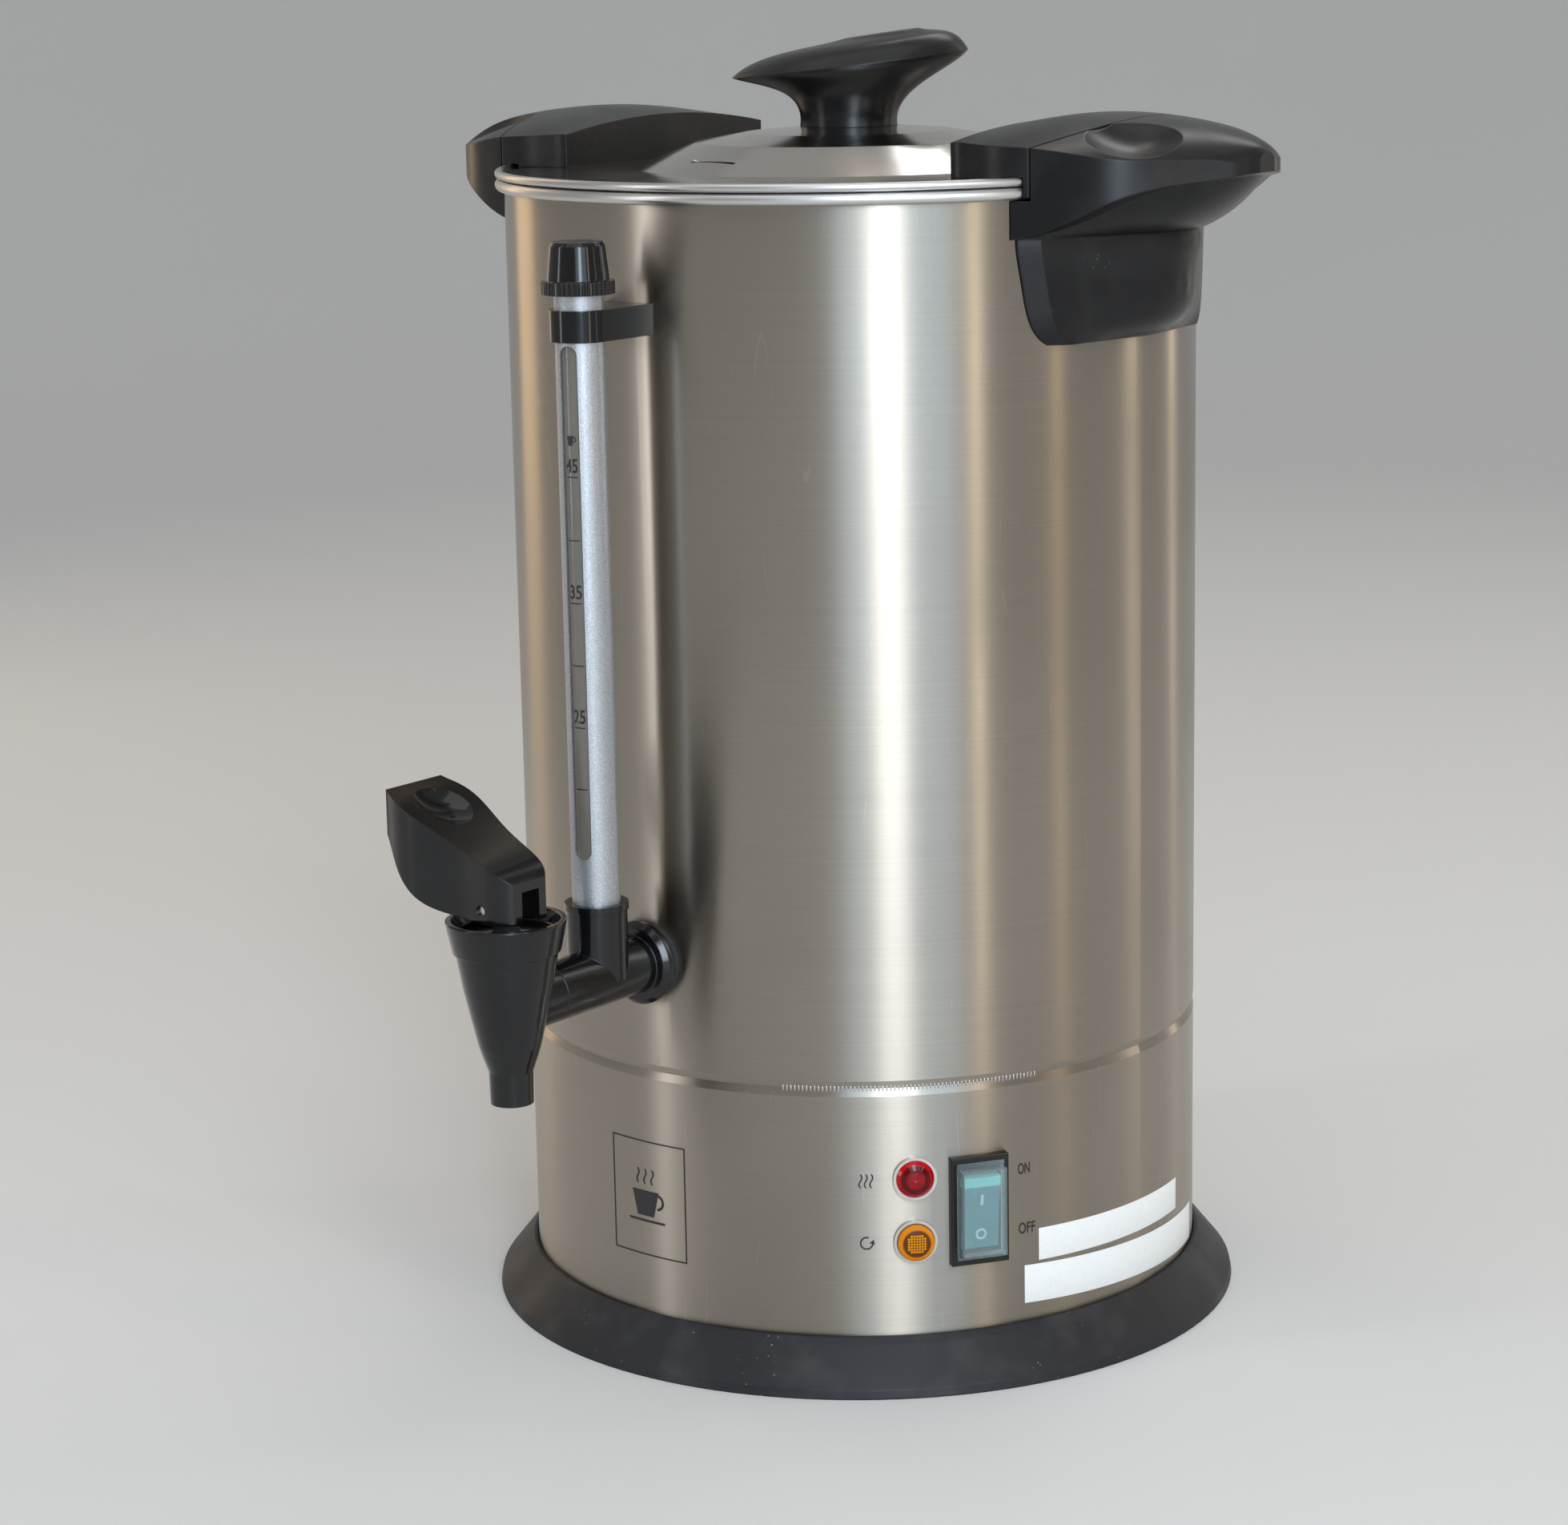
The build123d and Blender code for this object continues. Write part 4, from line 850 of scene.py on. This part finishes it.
    def thicken(self, depth: float) -> None:
        """Gives the flat faces a thickness, outward along +Z.

        Args:
            depth: Thickness.
        """
        bmesh.ops.remove_doubles(self.mesh, verts=self.mesh.verts, dist=1e-7)
        bmesh.ops.recalc_face_normals(self.mesh, faces=self.mesh.faces)
        for face in self.mesh.faces:
            if face.normal.z < 0:
                face.normal_flip()
        grown = bmesh.ops.extrude_face_region(self.mesh, geom=list(self.mesh.faces))
        tops = [item for item in grown["geom"] if isinstance(item, bmesh.types.BMVert)]
        bmesh.ops.translate(self.mesh, vec=(0.0, 0.0, depth), verts=tops)
        bmesh.ops.recalc_face_normals(self.mesh, faces=self.mesh.faces)

    def wrap(self, axis: Pair, radius: float, azimuth: float, height: float) -> None:
        """Bends the flat piece around an upright axis: X along the wall, Y up, Z outward.

        Args:
            axis: Where the axis stands in plan.
            radius: Radius at which the piece's Z is 0.
            azimuth: Where the piece's X is 0.
            height: Where the piece's Y is 0.
        """
        for vert in self.mesh.verts:
            turn = azimuth + math.degrees(vert.co.x / radius)
            spot = on_azimuth(turn, radius + vert.co.z, height + vert.co.y)
            vert.co = spot + Vector((*axis, 0.0))


@dataclass
class WallPrint:
    """Prints and labels on the base shell.

    Attributes:
        palette: The materials.
        radius: Outer radius of the shell.
        film: Thickness of a print.
        tape: Thickness of a label.
        tape_edge: Rounding of a label's edges.
        labels: Name, azimuths of its ends, heights of its ends and width of each label.
        switch_words: Text, width, azimuth and height of each word.
        word_height: Height of a capital.
        stroke: Width of a printed line.
        sign_azimuth: Azimuth of the two signs.
        heat_height: Height of the lamp's sign.
        heat_gap: Distance between its waves.
        heat_wave: Height and swing of a wave.
        reset_height: Height of the button's sign.
        reset_radius: Radius of its circle.
        arrow_radius: Size of its arrow head.
        frame_azimuth: Azimuth of the cup's frame.
        frame_height: Height of its middle.
        frame_size: Its width and height.
        cup_size: Width and height of the cup.
        cup_at: Middle of the cup across, and its foot.
        cup_foot: Share of the cup's width that is left at its foot.
        handle: Radius and stroke of the cup's handle.
        saucer: Width and stroke of the line under the cup.
        steam: Height and stroke of a line of steam.
        steam_at: Distance between the lines of steam, and their height.
    """

    palette: Palette
    radius: float = SHELL_RADIUS
    film: float = 0.04 * MM
    tape: float = 0.16 * MM
    tape_edge: float = 0.05 * MM
    labels: tuple = (
        ("label_upper", (66.4, 103.5), (41.0 * MM, 39.6 * MM), 10.6 * MM),
        ("label_lower", (63.7, 113.5), (28.5 * MM, 24.0 * MM), 12.6 * MM),
    )
    switch_words: tuple = (("ON", 4.3 * MM, 63.7, 66.9 * MM), ("OFF", 6.0 * MM, 64.2, 47.1 * MM))
    word_height: float = 3.6 * MM
    stroke: float = 0.5 * MM
    sign_azimuth: float = 37.2
    heat_height: float = 67.4 * MM
    heat_gap: float = 1.7 * MM
    heat_wave: Pair = (4.6 * MM, 0.45 * MM)
    reset_height: float = 47.0 * MM
    reset_radius: float = 1.9 * MM
    arrow_radius: float = 1.05 * MM
    frame_azimuth: float = -1.3
    frame_height: float = 54.5 * MM
    frame_size: Pair = (30.0 * MM, 38.0 * MM)
    cup_size: Pair = (11.0 * MM, 8.5 * MM)
    cup_at: Pair = (-1.0 * MM, -6.0 * MM)
    cup_foot: float = 0.62
    handle: Pair = (2.3 * MM, 0.9 * MM)
    saucer: Pair = (15.0 * MM, 0.8 * MM)
    steam: Pair = (5.0 * MM, 0.6 * MM)
    steam_at: Pair = (3.0 * MM, 7.2 * MM)

    def build(self) -> None:
        """Makes the prints and the two labels."""
        for word in self.switch_words:
            self.word(*word)
        self.heat_sign()
        self.reset_sign()
        self.cup_frame()
        for label in self.labels:
            self.label(*label)

    def set_print(self, piece: Piece, azimuth: float, height: float) -> None:
        """Gives a flat print its thickness, bends it on the wall and inks it black.

        Args:
            piece: The flat print.
            azimuth: Azimuth of its middle.
            height: Height of its middle.
        """
        piece.thicken(self.film)
        piece.wrap((0.0, 0.0), self.radius + PRINT_LIFT, azimuth, height)
        piece.settle(self.palette.black_ink, Body.URN, Slot.BRUSHED, smooth=False)

    def word(self, text: str, wide: float, azimuth: float, height: float) -> None:
        """Prints a plain switch word beside the switch.

        Args:
            text: The word.
            wide: Its width.
            azimuth: Azimuth of its middle.
            height: Height of its middle.
        """
        piece = Piece("print_" + text.lower())
        piece.letters(text, (wide, self.word_height), (0.0, 0.0))
        self.set_print(piece, azimuth, height)

    def heat_sign(self) -> None:
        """Prints three rising waves beside the lamp."""
        piece = Piece("print_heat_sign")
        tall, swing = self.heat_wave
        for column in (-1, 0, 1):
            piece.wave((column * self.heat_gap, 0.0), (tall, self.stroke), swing, 14)
        self.set_print(piece, self.sign_azimuth, self.heat_height)

    def reset_sign(self) -> None:
        """Prints an open circle with an arrow head beside the reset button."""
        piece = Piece("print_reset_sign")
        piece.ring(self.reset_radius, self.stroke, 70.0, 290.0, 28)
        head = bmesh.ops.create_circle(piece.mesh, cap_ends=True, segments=3, radius=self.arrow_radius)
        piece.turn(head["verts"], -20.0)
        piece.move(head["verts"], self.reset_radius, 0.2 * MM)
        self.set_print(piece, self.sign_azimuth, self.reset_height)

    def cup_frame(self) -> None:
        """Prints a plain frame with a cup in it under the tap."""
        piece = Piece("print_cup_frame")
        wide, tall = self.frame_size
        for side in (-1, 1):
            piece.strip(wide, self.stroke, (0.0, side * tall / 2), cuts=24)
            piece.strip(self.stroke, tall + self.stroke, (side * wide / 2, 0.0), cuts=1)
        cup_wide, cup_tall = self.cup_size
        middle, low = self.cup_at
        piece.bowl(self.cup_size, (middle, low + cup_tall / 2), self.cup_foot, 12)
        loop = piece.ring(*self.handle, -90.0, 180.0, 16)
        piece.move(loop, cup_wide / 2 - 1.6 * MM, low + 0.62 * cup_tall)
        piece.strip(*self.saucer, (-0.6 * MM, low - 1.6 * MM), cuts=14)
        gap, level = self.steam_at
        for column in (-1, 0, 1):
            piece.wave((middle + column * gap, level), self.steam, 0.5 * MM, 12)
        self.set_print(piece, self.frame_azimuth, self.frame_height)

    def label(self, name: str, azimuths: Pair, middles: Pair, tall: float) -> None:
        """Sticks a blank white tape on the wall, a little aslant.

        Args:
            name: Name of the piece.
            azimuths: First and last azimuth.
            middles: Height of its middle at both ends.
            tall: Width of the tape.
        """
        piece = Piece(name)
        span = math.radians(azimuths[1] - azimuths[0]) * self.radius
        for vert in piece.strip(span, tall, cuts=64):
            share = vert.co.x / span + 0.5
            vert.co.y += middles[0] + share * (middles[1] - middles[0])
        piece.thicken(self.tape)
        rims = [edge for edge in piece.mesh.edges if edge.calc_face_angle(0.0) > 1.0]
        bmesh.ops.bevel(piece.mesh, geom=rims, offset=self.tape_edge, affect="EDGES", segments=2,
                        profile=0.5, material=-1)
        piece.wrap((0.0, 0.0), self.radius + PRINT_LIFT, sum(azimuths) / 2, 0.0)
        piece.settle(self.palette.white_label, Body.URN, Slot.BRUSHED)


@dataclass
class SeamWeld:
    """Small weld ticks along the seam between the tank and the base shell.

    Attributes:
        palette: The materials.
        radius: Radius at the bottom of the seam's groove.
        height: Height of the seam.
        azimuths: First and last azimuth of the run of ticks.
        count: Number of ticks.
        tick: Width, height and depth of a tick.
        uneven: How far a tick's height and place vary.
        rise: How far a tick's middle stands outside the groove.
        edge: Chamfer of a tick.
    """

    palette: Palette
    radius: float = 111.0 * MM
    height: float = 97.3 * MM
    azimuths: Pair = (24.0, 66.0)
    count: int = 66
    tick: Triple = (0.42 * MM, 2.3 * MM, 0.5 * MM)
    uneven: Pair = (0.5 * MM, 0.15 * MM)
    rise: float = 0.1 * MM
    edge: float = 0.12 * MM

    def build(self) -> None:
        """Makes the ticks as one piece."""
        piece = Piece("seam_weld_ticks")
        first, last = self.azimuths
        wide, tall, deep = self.tick
        arc = math.radians(last - first) * self.radius
        for index in range(self.count):
            share = index / (self.count - 1) - 0.5
            made = bmesh.ops.create_cube(piece.mesh, size=1.0)
            size = (wide, tall + self.uneven[0] * math.sin(2.4 * index), deep)
            spot = (share * arc, self.uneven[1] * math.sin(1.7 * index), self.rise)
            bmesh.ops.scale(piece.mesh, vec=size, verts=made["verts"])
            bmesh.ops.translate(piece.mesh, vec=spot, verts=made["verts"])
        bmesh.ops.bevel(piece.mesh, geom=list(piece.mesh.edges), offset=self.edge, affect="EDGES",
                        segments=1, profile=0.5, material=-1)
        piece.wrap((0.0, 0.0), self.radius, (first + last) / 2, self.height)
        piece.settle(self.palette.slots[Slot.STAINLESS.value], Body.URN, Slot.BRUSHED)


@dataclass
class RimBeads:
    """Rolled beads of the tank's rim and of the lid's edge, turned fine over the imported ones.

    Attributes:
        palette: The materials.
        rows: Name, body, slot, radius of the ring, radius of the bead and height of each.
        skin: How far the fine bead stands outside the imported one.
    """

    palette: Palette
    rows: tuple = (
        ("tank_rim_bead", Body.URN, Slot.BRUSHED, 113.0 * MM, 1.9 * MM, 371.8 * MM),
        ("lid_edge_bead", Body.LID, Slot.POLISHED, 113.6 * MM, 1.3 * MM, 375.3 * MM),
    )
    skin: float = 0.04 * MM

    def build(self) -> None:
        """Turns both beads."""
        for name, body, slot, radius, bead, height in self.rows:
            piece = Piece(name)
            hoop = piece.hoop(radius, bead + self.skin, height, 20)
            bmesh.ops.spin(piece.mesh, geom=hoop, cent=(0, 0, 0), axis=(0, 0, 1), angle=math.tau, steps=360,
                           use_merge=True)
            bmesh.ops.recalc_face_normals(piece.mesh, faces=piece.mesh.faces)
            piece.settle(self.palette.slots[Slot.STAINLESS.value], body, slot)


@dataclass
class GaugeMarks:
    """Numbers, lines and cup sign printed on the gauge's tube.

    Attributes:
        palette: The materials.
        axis: Where the gauge's axis stands in plan.
        radius: Outer radius of the tube.
        top_line: Height of the line for the largest number.
        pitch: Height between lines.
        numbers: Numbers from the top, with an empty text for a bare line.
        line: Length and width of a line.
        digit: Width and height of a number.
        film: Thickness of the print.
        azimuth: Where the marks stand on the tube.
        cup_rise: Height of the cup sign above the top line.
        cup_size: Its width and height.
        cup_middle: Its middle across.
        handle: Radius and stroke of its handle.
    """

    palette: Palette
    axis: Pair = (0.0, -135.4 * MM)
    radius: float = 6.6 * MM
    top_line: float = 290.6 * MM
    pitch: float = 19.2 * MM
    numbers: tuple = ("45", "", "35", "", "25", "")
    line: Pair = (3.7 * MM, 0.35 * MM)
    digit: Pair = (4.1 * MM, 4.3 * MM)
    film: float = 0.03 * MM
    azimuth: float = 9.0
    cup_rise: float = 11.0 * MM
    cup_size: Pair = (2.3 * MM, 3.0 * MM)
    cup_middle: float = -0.3 * MM
    handle: Pair = (0.75 * MM, 0.35 * MM)

    def build(self) -> None:
        """Makes the lines and numbers, then the cup sign."""
        piece = Piece("gauge_marks")
        for index, number in enumerate(self.numbers):
            level = -index * self.pitch
            piece.strip(*self.line, (0.0, level), cuts=8)
            if number:
                piece.letters(number, self.digit, (0.0, level + 0.75 * self.digit[1]))
        piece.bowl(self.cup_size, (self.cup_middle, self.cup_rise), 0.6, 6)
        piece.move(piece.ring(*self.handle, -90.0, 180.0, 10), 0.75 * MM, self.cup_rise + 0.4 * MM)
        piece.thicken(self.film)
        piece.wrap(self.axis, self.radius + PRINT_LIFT, self.azimuth, self.top_line)
        piece.settle(self.palette.black_ink, Body.URN, Slot.TUBE, smooth=False)


@dataclass
class PanelMarks:
    """Rocker marks and the grid of the amber button.

    Attributes:
        palette: The materials.
        wall: Radius of the base shell.
        switch: Azimuth and height of the switch.
        button: Azimuth and height of the reset button.
        pivot: Where the rocker's pin stands, from the wall.
        rocker_top: Height of the rocker's ends above its pin.
        rocker_dip: How much lower its middle is.
        rocker_half: Half its length.
        rocker_tilt: Its tilt at rest.
        film: Thickness of the marks.
        bar: Width and height of the bar.
        bar_rise: Height of the bar above the rocker's middle.
        ring: Radius and stroke of the ring.
        ring_drop: Depth of the ring below the rocker's middle.
        grid_pitch: Distance between the button's pyramids.
        grid_radius: Radius of the field that they fill.
        grid_depth: Height of a pyramid.
        button_top: Height of their middles above the wall.
    """

    palette: Palette
    wall: float = SHELL_RADIUS
    switch: Pair = (55.5, 56.3 * MM)
    button: Pair = (PANEL_AZIMUTH, BUTTON_HEIGHT)
    pivot: float = -2.0 * MM
    rocker_top: float = 5.55 * MM
    rocker_dip: float = 0.65 * MM
    rocker_half: float = 12.0 * MM
    rocker_tilt: float = 6.0
    film: float = 0.06 * MM
    bar: Pair = (0.8 * MM, 3.6 * MM)
    bar_rise: float = 4.4 * MM
    ring: Pair = (1.5 * MM, 0.7 * MM)
    ring_drop: float = 7.2 * MM
    grid_pitch: float = 0.85 * MM
    grid_radius: float = 3.4 * MM
    grid_depth: float = 0.45 * MM
    button_top: float = 4.3 * MM

    def build(self) -> None:
        """Makes the marks and the grid."""
        self.rocker_marks()
        self.button_grid()

    def stand(self, place: Pair, depth: float) -> Matrix:
        """Frame on the wall: X along it, Y up, Z outward.

        Args:
            place: Azimuth and height.
            depth: How far outside the wall it stands.

        Returns:
            The frame.
        """
        outward = on_azimuth(place[0], 1.0, 0.0)
        along = Vector((0.0, 0.0, 1.0)).cross(outward)
        spot = on_azimuth(place[0], self.wall + depth, place[1])
        turn = Matrix((along, Vector((0.0, 0.0, 1.0)), outward)).transposed().to_4x4()
        return Matrix.Translation(spot) @ turn

    def rocker_marks(self) -> None:
        """Prints a bar and a ring on the two halves of the rocker."""
        piece = Piece("rocker_marks")
        piece.strip(*self.bar, (0.0, self.bar_rise), cuts=1)
        piece.move(piece.ring(*self.ring, 0.0, 360.0, 28), 0.0, -self.ring_drop)
        piece.thicken(self.film)
        slope = self.rocker_dip / self.rocker_half
        for vert in piece.mesh.verts:
            vert.co.z += self.rocker_top - self.rocker_dip + slope * abs(vert.co.y) + PRINT_LIFT
        tilt = Matrix.Rotation(math.radians(self.rocker_tilt), 4, "X")
        place = self.stand(self.switch, self.pivot) @ tilt
        bmesh.ops.transform(piece.mesh, matrix=place, verts=piece.mesh.verts)
        piece.settle(self.palette.pale_ink, Body.ROCKER, Slot.ROCKER, smooth=False)

    def button_grid(self) -> None:
        """Makes rows of small pyramids on the amber button's face."""
        piece = Piece("reset_button_grid")
        pitch = self.grid_pitch
        reach = int(self.grid_radius / pitch)
        for row in range(-reach, reach + 1):
            for column in range(-reach, reach + 1):
                x, y = column * pitch, row * pitch
                if math.hypot(x, y) > self.grid_radius - 0.3 * pitch:
                    continue
                made = bmesh.ops.create_cone(piece.mesh, cap_ends=True, segments=4, radius1=0.62 * pitch,
                                             radius2=0.2 * pitch, depth=self.grid_depth)
                piece.turn(made["verts"], 45.0)
                piece.move(made["verts"], x, y)
        place = self.stand(self.button, self.button_top)
        bmesh.ops.transform(piece.mesh, matrix=place, verts=piece.mesh.verts)
        piece.settle(self.palette.amber_grid, Body.RESET, Slot.AMBER, smooth=False)


@dataclass(frozen=True)
class CoilSpring:
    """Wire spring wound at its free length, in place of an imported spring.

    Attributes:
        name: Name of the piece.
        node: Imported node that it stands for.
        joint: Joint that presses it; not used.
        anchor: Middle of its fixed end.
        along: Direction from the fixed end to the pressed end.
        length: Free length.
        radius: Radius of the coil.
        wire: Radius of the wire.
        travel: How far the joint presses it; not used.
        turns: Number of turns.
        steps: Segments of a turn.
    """

    name: str
    node: str
    joint: str
    anchor: Vector
    along: Vector
    length: float
    radius: float
    wire: float
    travel: float
    turns: int = 5
    steps: int = 36

    def build(self, palette: Palette) -> None:
        """Winds the wire and sets the spring in place.

        Args:
            palette: The materials.
        """
        piece = Piece(self.name)
        hoop = piece.hoop(self.radius, self.wire, self.wire, 10)
        steps = self.steps * self.turns
        rise = (self.length - 2 * self.wire) / steps
        bmesh.ops.spin(piece.mesh, geom=hoop, cent=(0, 0, 0), axis=(0, 0, 1), dvec=(0.0, 0.0, rise),
                       angle=math.tau * self.turns, steps=steps, use_merge=False)
        ends = [edge for edge in piece.mesh.edges if edge.is_boundary]
        bmesh.ops.holes_fill(piece.mesh, edges=ends, sides=0)
        bmesh.ops.recalc_face_normals(piece.mesh, faces=piece.mesh.faces)
        turn = Vector((0.0, 0.0, 1.0)).rotation_difference(self.along).to_matrix().to_4x4()
        place = Matrix.Translation(self.anchor) @ turn
        bmesh.ops.transform(piece.mesh, matrix=place, verts=piece.mesh.verts)
        spring = piece.settle(palette.slots[Slot.FASTENER.value], Body.URN, Slot.FASTENER, self.node)
        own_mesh(spring)


SPRINGS = (
    CoilSpring("stem_coil", "stem_spring", "seat_lift", Vector((0.0, -177.0 * MM, 146.0 * MM)),
               Vector((0.0, 0.0, -1.0)), 13.4 * MM, 5.6 * MM, 0.45 * MM, 5.3 * MM),
    CoilSpring("reset_coil", "reset_spring", "reset_press",
               on_azimuth(PANEL_AZIMUTH, 92.0 * MM, BUTTON_HEIGHT), on_azimuth(PANEL_AZIMUTH, 1.0, 0.0),
               7.9 * MM, 2.4 * MM, 0.3 * MM, 1.0 * MM),
)


@dataclass(frozen=True)
class Lamp:
    """One softbox or strip light.

    Attributes:
        name: Name of the light.
        azimuth: Direction from the urn.
        distance: Distance from the urn's axis.
        height: Height of its middle.
        size: Width and height.
        power: Power in watts.
        colour: Colour of the light.
    """

    name: str
    azimuth: float
    distance: float
    height: float
    size: Pair
    power: float
    colour: Colour = (1.0, 1.0, 1.0)

    def hang(self, target: Vector) -> None:
        """Sets the light up, facing a point.

        Args:
            target: The point it faces.
        """
        data = bpy.data.lights.new(self.name, "AREA")
        data.shape = "RECTANGLE"
        data.size, data.size_y = self.size
        data.energy = self.power
        data.color = self.colour
        lamp = bpy.data.objects.new(self.name, data)
        lamp.location = on_azimuth(self.azimuth, self.distance, self.height)
        aim = target - lamp.location
        lamp.rotation_euler = aim.to_track_quat("-Z", "Y").to_euler()
        lamp.visible_camera = False
        bpy.context.scene.collection.objects.link(lamp)


COOL = (0.92, 0.965, 1.0)
WARM = (1.0, 0.86, 0.66)
AMBER_LIGHT = (1.0, 0.70, 0.38)
BLUE_SKY = (0.55, 0.77, 1.0)
LAMPS = (
    Lamp("key_core", 47.8, 2.0, 1.08, (0.37, 1.9), 19.0, COOL),
    Lamp("key_wing", 51.0, 2.2, 1.08, (1.62, 1.9), 25.0, BLUE_SKY),
    Lamp("warm_strip", 76.0, 1.4, 0.7, (0.045, 1.4), 1.9, WARM),
    Lamp("side_strip", 105.0, 1.4, 0.7, (0.04, 1.4), 0.8, AMBER_LIGHT),
    Lamp("rear_strip", 138.0, 1.4, 0.7, (0.10, 1.4), 1.2, WARM),
    Lamp("right_strip", 165.0, 1.4, 0.7, (0.06, 1.4), 1.1, WARM),
    Lamp("left_strip", -31.0, 1.4, 0.7, (0.12, 1.4), 2.6),
    Lamp("left_warm", -96.5, 1.4, 0.7, (0.40, 1.3), 2.2, AMBER_LIGHT),
    Lamp("rear_fill", 190.0, 1.5, 1.95, (1.0, 0.5), 5.0),
    Lamp("lid_spark", 214.0, 0.9, 1.7, (0.14, 0.14), 0.45, WARM),
    Lamp("top_box", 20.0, 0.35, 1.7, (1.3, 1.3), 4.8),
)


@dataclass
class Studio:
    """Floor with its rising surround, world, lights and camera.

    Attributes:
        floor_reach: Radius of the flat floor.
        rise_radius: Radius of the curve up to the surround.
        rise_steps: Segments of that curve.
        wall_height: Height of the surround.
        rounds: Segments around the floor.
        floor_colour: Colour of the floor.
        world_colour: Colour of the open top.
        world_strength: Its strength.
        camera_place: Where the camera stands.
        aim_azimuth: Plan angle of its line of sight, from +Y toward -X.
        pitch: How far it looks down.
        roll: How far it leans.
        lens: Focal length, in millimetres.
        sensor: Sensor width, in millimetres.
        lamp_target: Point that the lamps face.
    """

    floor_reach: float = 2.0
    rise_radius: float = 1.6
    rise_steps: int = 12
    wall_height: float = 3.0
    rounds: int = 96
    floor_colour: Colour = (0.72, 0.71, 0.695)
    world_colour: Colour = (1.0, 1.0, 1.0)
    world_strength: float = 0.40
    camera_place: Triple = (0.7459, -0.9898, 0.4460)
    aim_azimuth: float = 38.154
    pitch: float = 12.223
    roll: float = -1.093
    lens: float = 86.79
    sensor: float = 36.0
    lamp_target: Triple = (0.0, 0.0, 0.25)

    def build(self) -> None:
        """Sets the whole studio up."""
        self.lay_floor()
        self.light()
        self.place_camera()

    def lay_floor(self) -> None:
        """Makes the pale floor, which rises into a surround."""
        mesh = bmesh.new()
        heights = [(0.0, 0.0), (self.floor_reach, 0.0)]
        for step in range(1, self.rise_steps + 1):
            angle = math.radians(90.0 * step / self.rise_steps)
            heights.append((self.floor_reach + self.rise_radius * math.sin(angle),
                            self.rise_radius * (1.0 - math.cos(angle))))
        heights.append((self.floor_reach + self.rise_radius, self.wall_height))
        verts = [mesh.verts.new((radius, 0.0, height)) for radius, height in heights]
        edges = [mesh.edges.new(pair) for pair in zip(verts, verts[1:])]
        bmesh.ops.spin(mesh, geom=verts + edges, cent=(0, 0, 0), axis=(0, 0, 1), angle=math.tau,
                       steps=self.rounds, use_merge=True)
        bmesh.ops.remove_doubles(mesh, verts=mesh.verts, dist=1e-5)
        bmesh.ops.recalc_face_normals(mesh, faces=mesh.faces)
        for face in mesh.faces:
            face.smooth = True
        data = bpy.data.meshes.new("studio_floor")
        mesh.to_mesh(data)
        mesh.free()
        sheet = NodeSheet("pale_floor")
        sheet.drive("Base Color", sheet.tones(sheet.noise(3.0, 3.0), self.floor_colour, 0.97, 1.0))
        sheet.set(Roughness=0.5, Specular_IOR_Level=0.15)
        data.materials.append(sheet.material)
        floor = bpy.data.objects.new("studio_floor", data)
        bpy.context.scene.collection.objects.link(floor)

    def light(self) -> None:
        """Sets the world and the lamps."""
        world = bpy.data.worlds.new("studio_world")
        world.use_nodes = True
        ground = world.node_tree.nodes["Background"]
        ground.inputs["Color"].default_value = (*self.world_colour, 1.0)
        ground.inputs["Strength"].default_value = self.world_strength
        bpy.context.scene.world = world
        for lamp in LAMPS:
            lamp.hang(Vector(self.lamp_target))
        bpy.context.scene.view_settings.view_transform = "Standard"

    def place_camera(self) -> None:
        """Stands the camera at the photograph's viewing angle."""
        data = bpy.data.cameras.new("studio_camera")
        data.sensor_fit = "HORIZONTAL"
        data.sensor_width = self.sensor
        data.lens = self.lens
        aim, pitch, roll = (math.radians(angle) for angle in (self.aim_azimuth, self.pitch, self.roll))
        level_reach = math.cos(pitch)
        ahead = Vector((-math.sin(aim) * level_reach, math.cos(aim) * level_reach, -math.sin(pitch)))
        level = ahead.cross(Vector((0.0, 0.0, 1.0))).normalized()
        upright = level.cross(ahead)
        right = math.cos(roll) * level + math.sin(roll) * upright
        up = math.cos(roll) * upright - math.sin(roll) * level
        camera = bpy.data.objects.new("studio_camera", data)
        turn = Matrix((right, up, -ahead)).transposed().to_4x4()
        camera.matrix_world = Matrix.Translation(Vector(self.camera_place)) @ turn
        bpy.context.scene.collection.objects.link(camera)
        bpy.context.scene.camera = camera


def main() -> None:
    """Dresses the frame, builds the new pieces and the studio."""
    logging.basicConfig(level=logging.INFO, format="%(name)s: %(message)s")
    palette = Palette()
    palette.dress_frame()
    WallPrint(palette).build()
    SeamWeld(palette).build()
    RimBeads(palette).build()
    GaugeMarks(palette).build()
    PanelMarks(palette).build()
    for spring in SPRINGS:
        spring.build(palette)
    Studio().build()


if __name__ == "__main__":
    main()
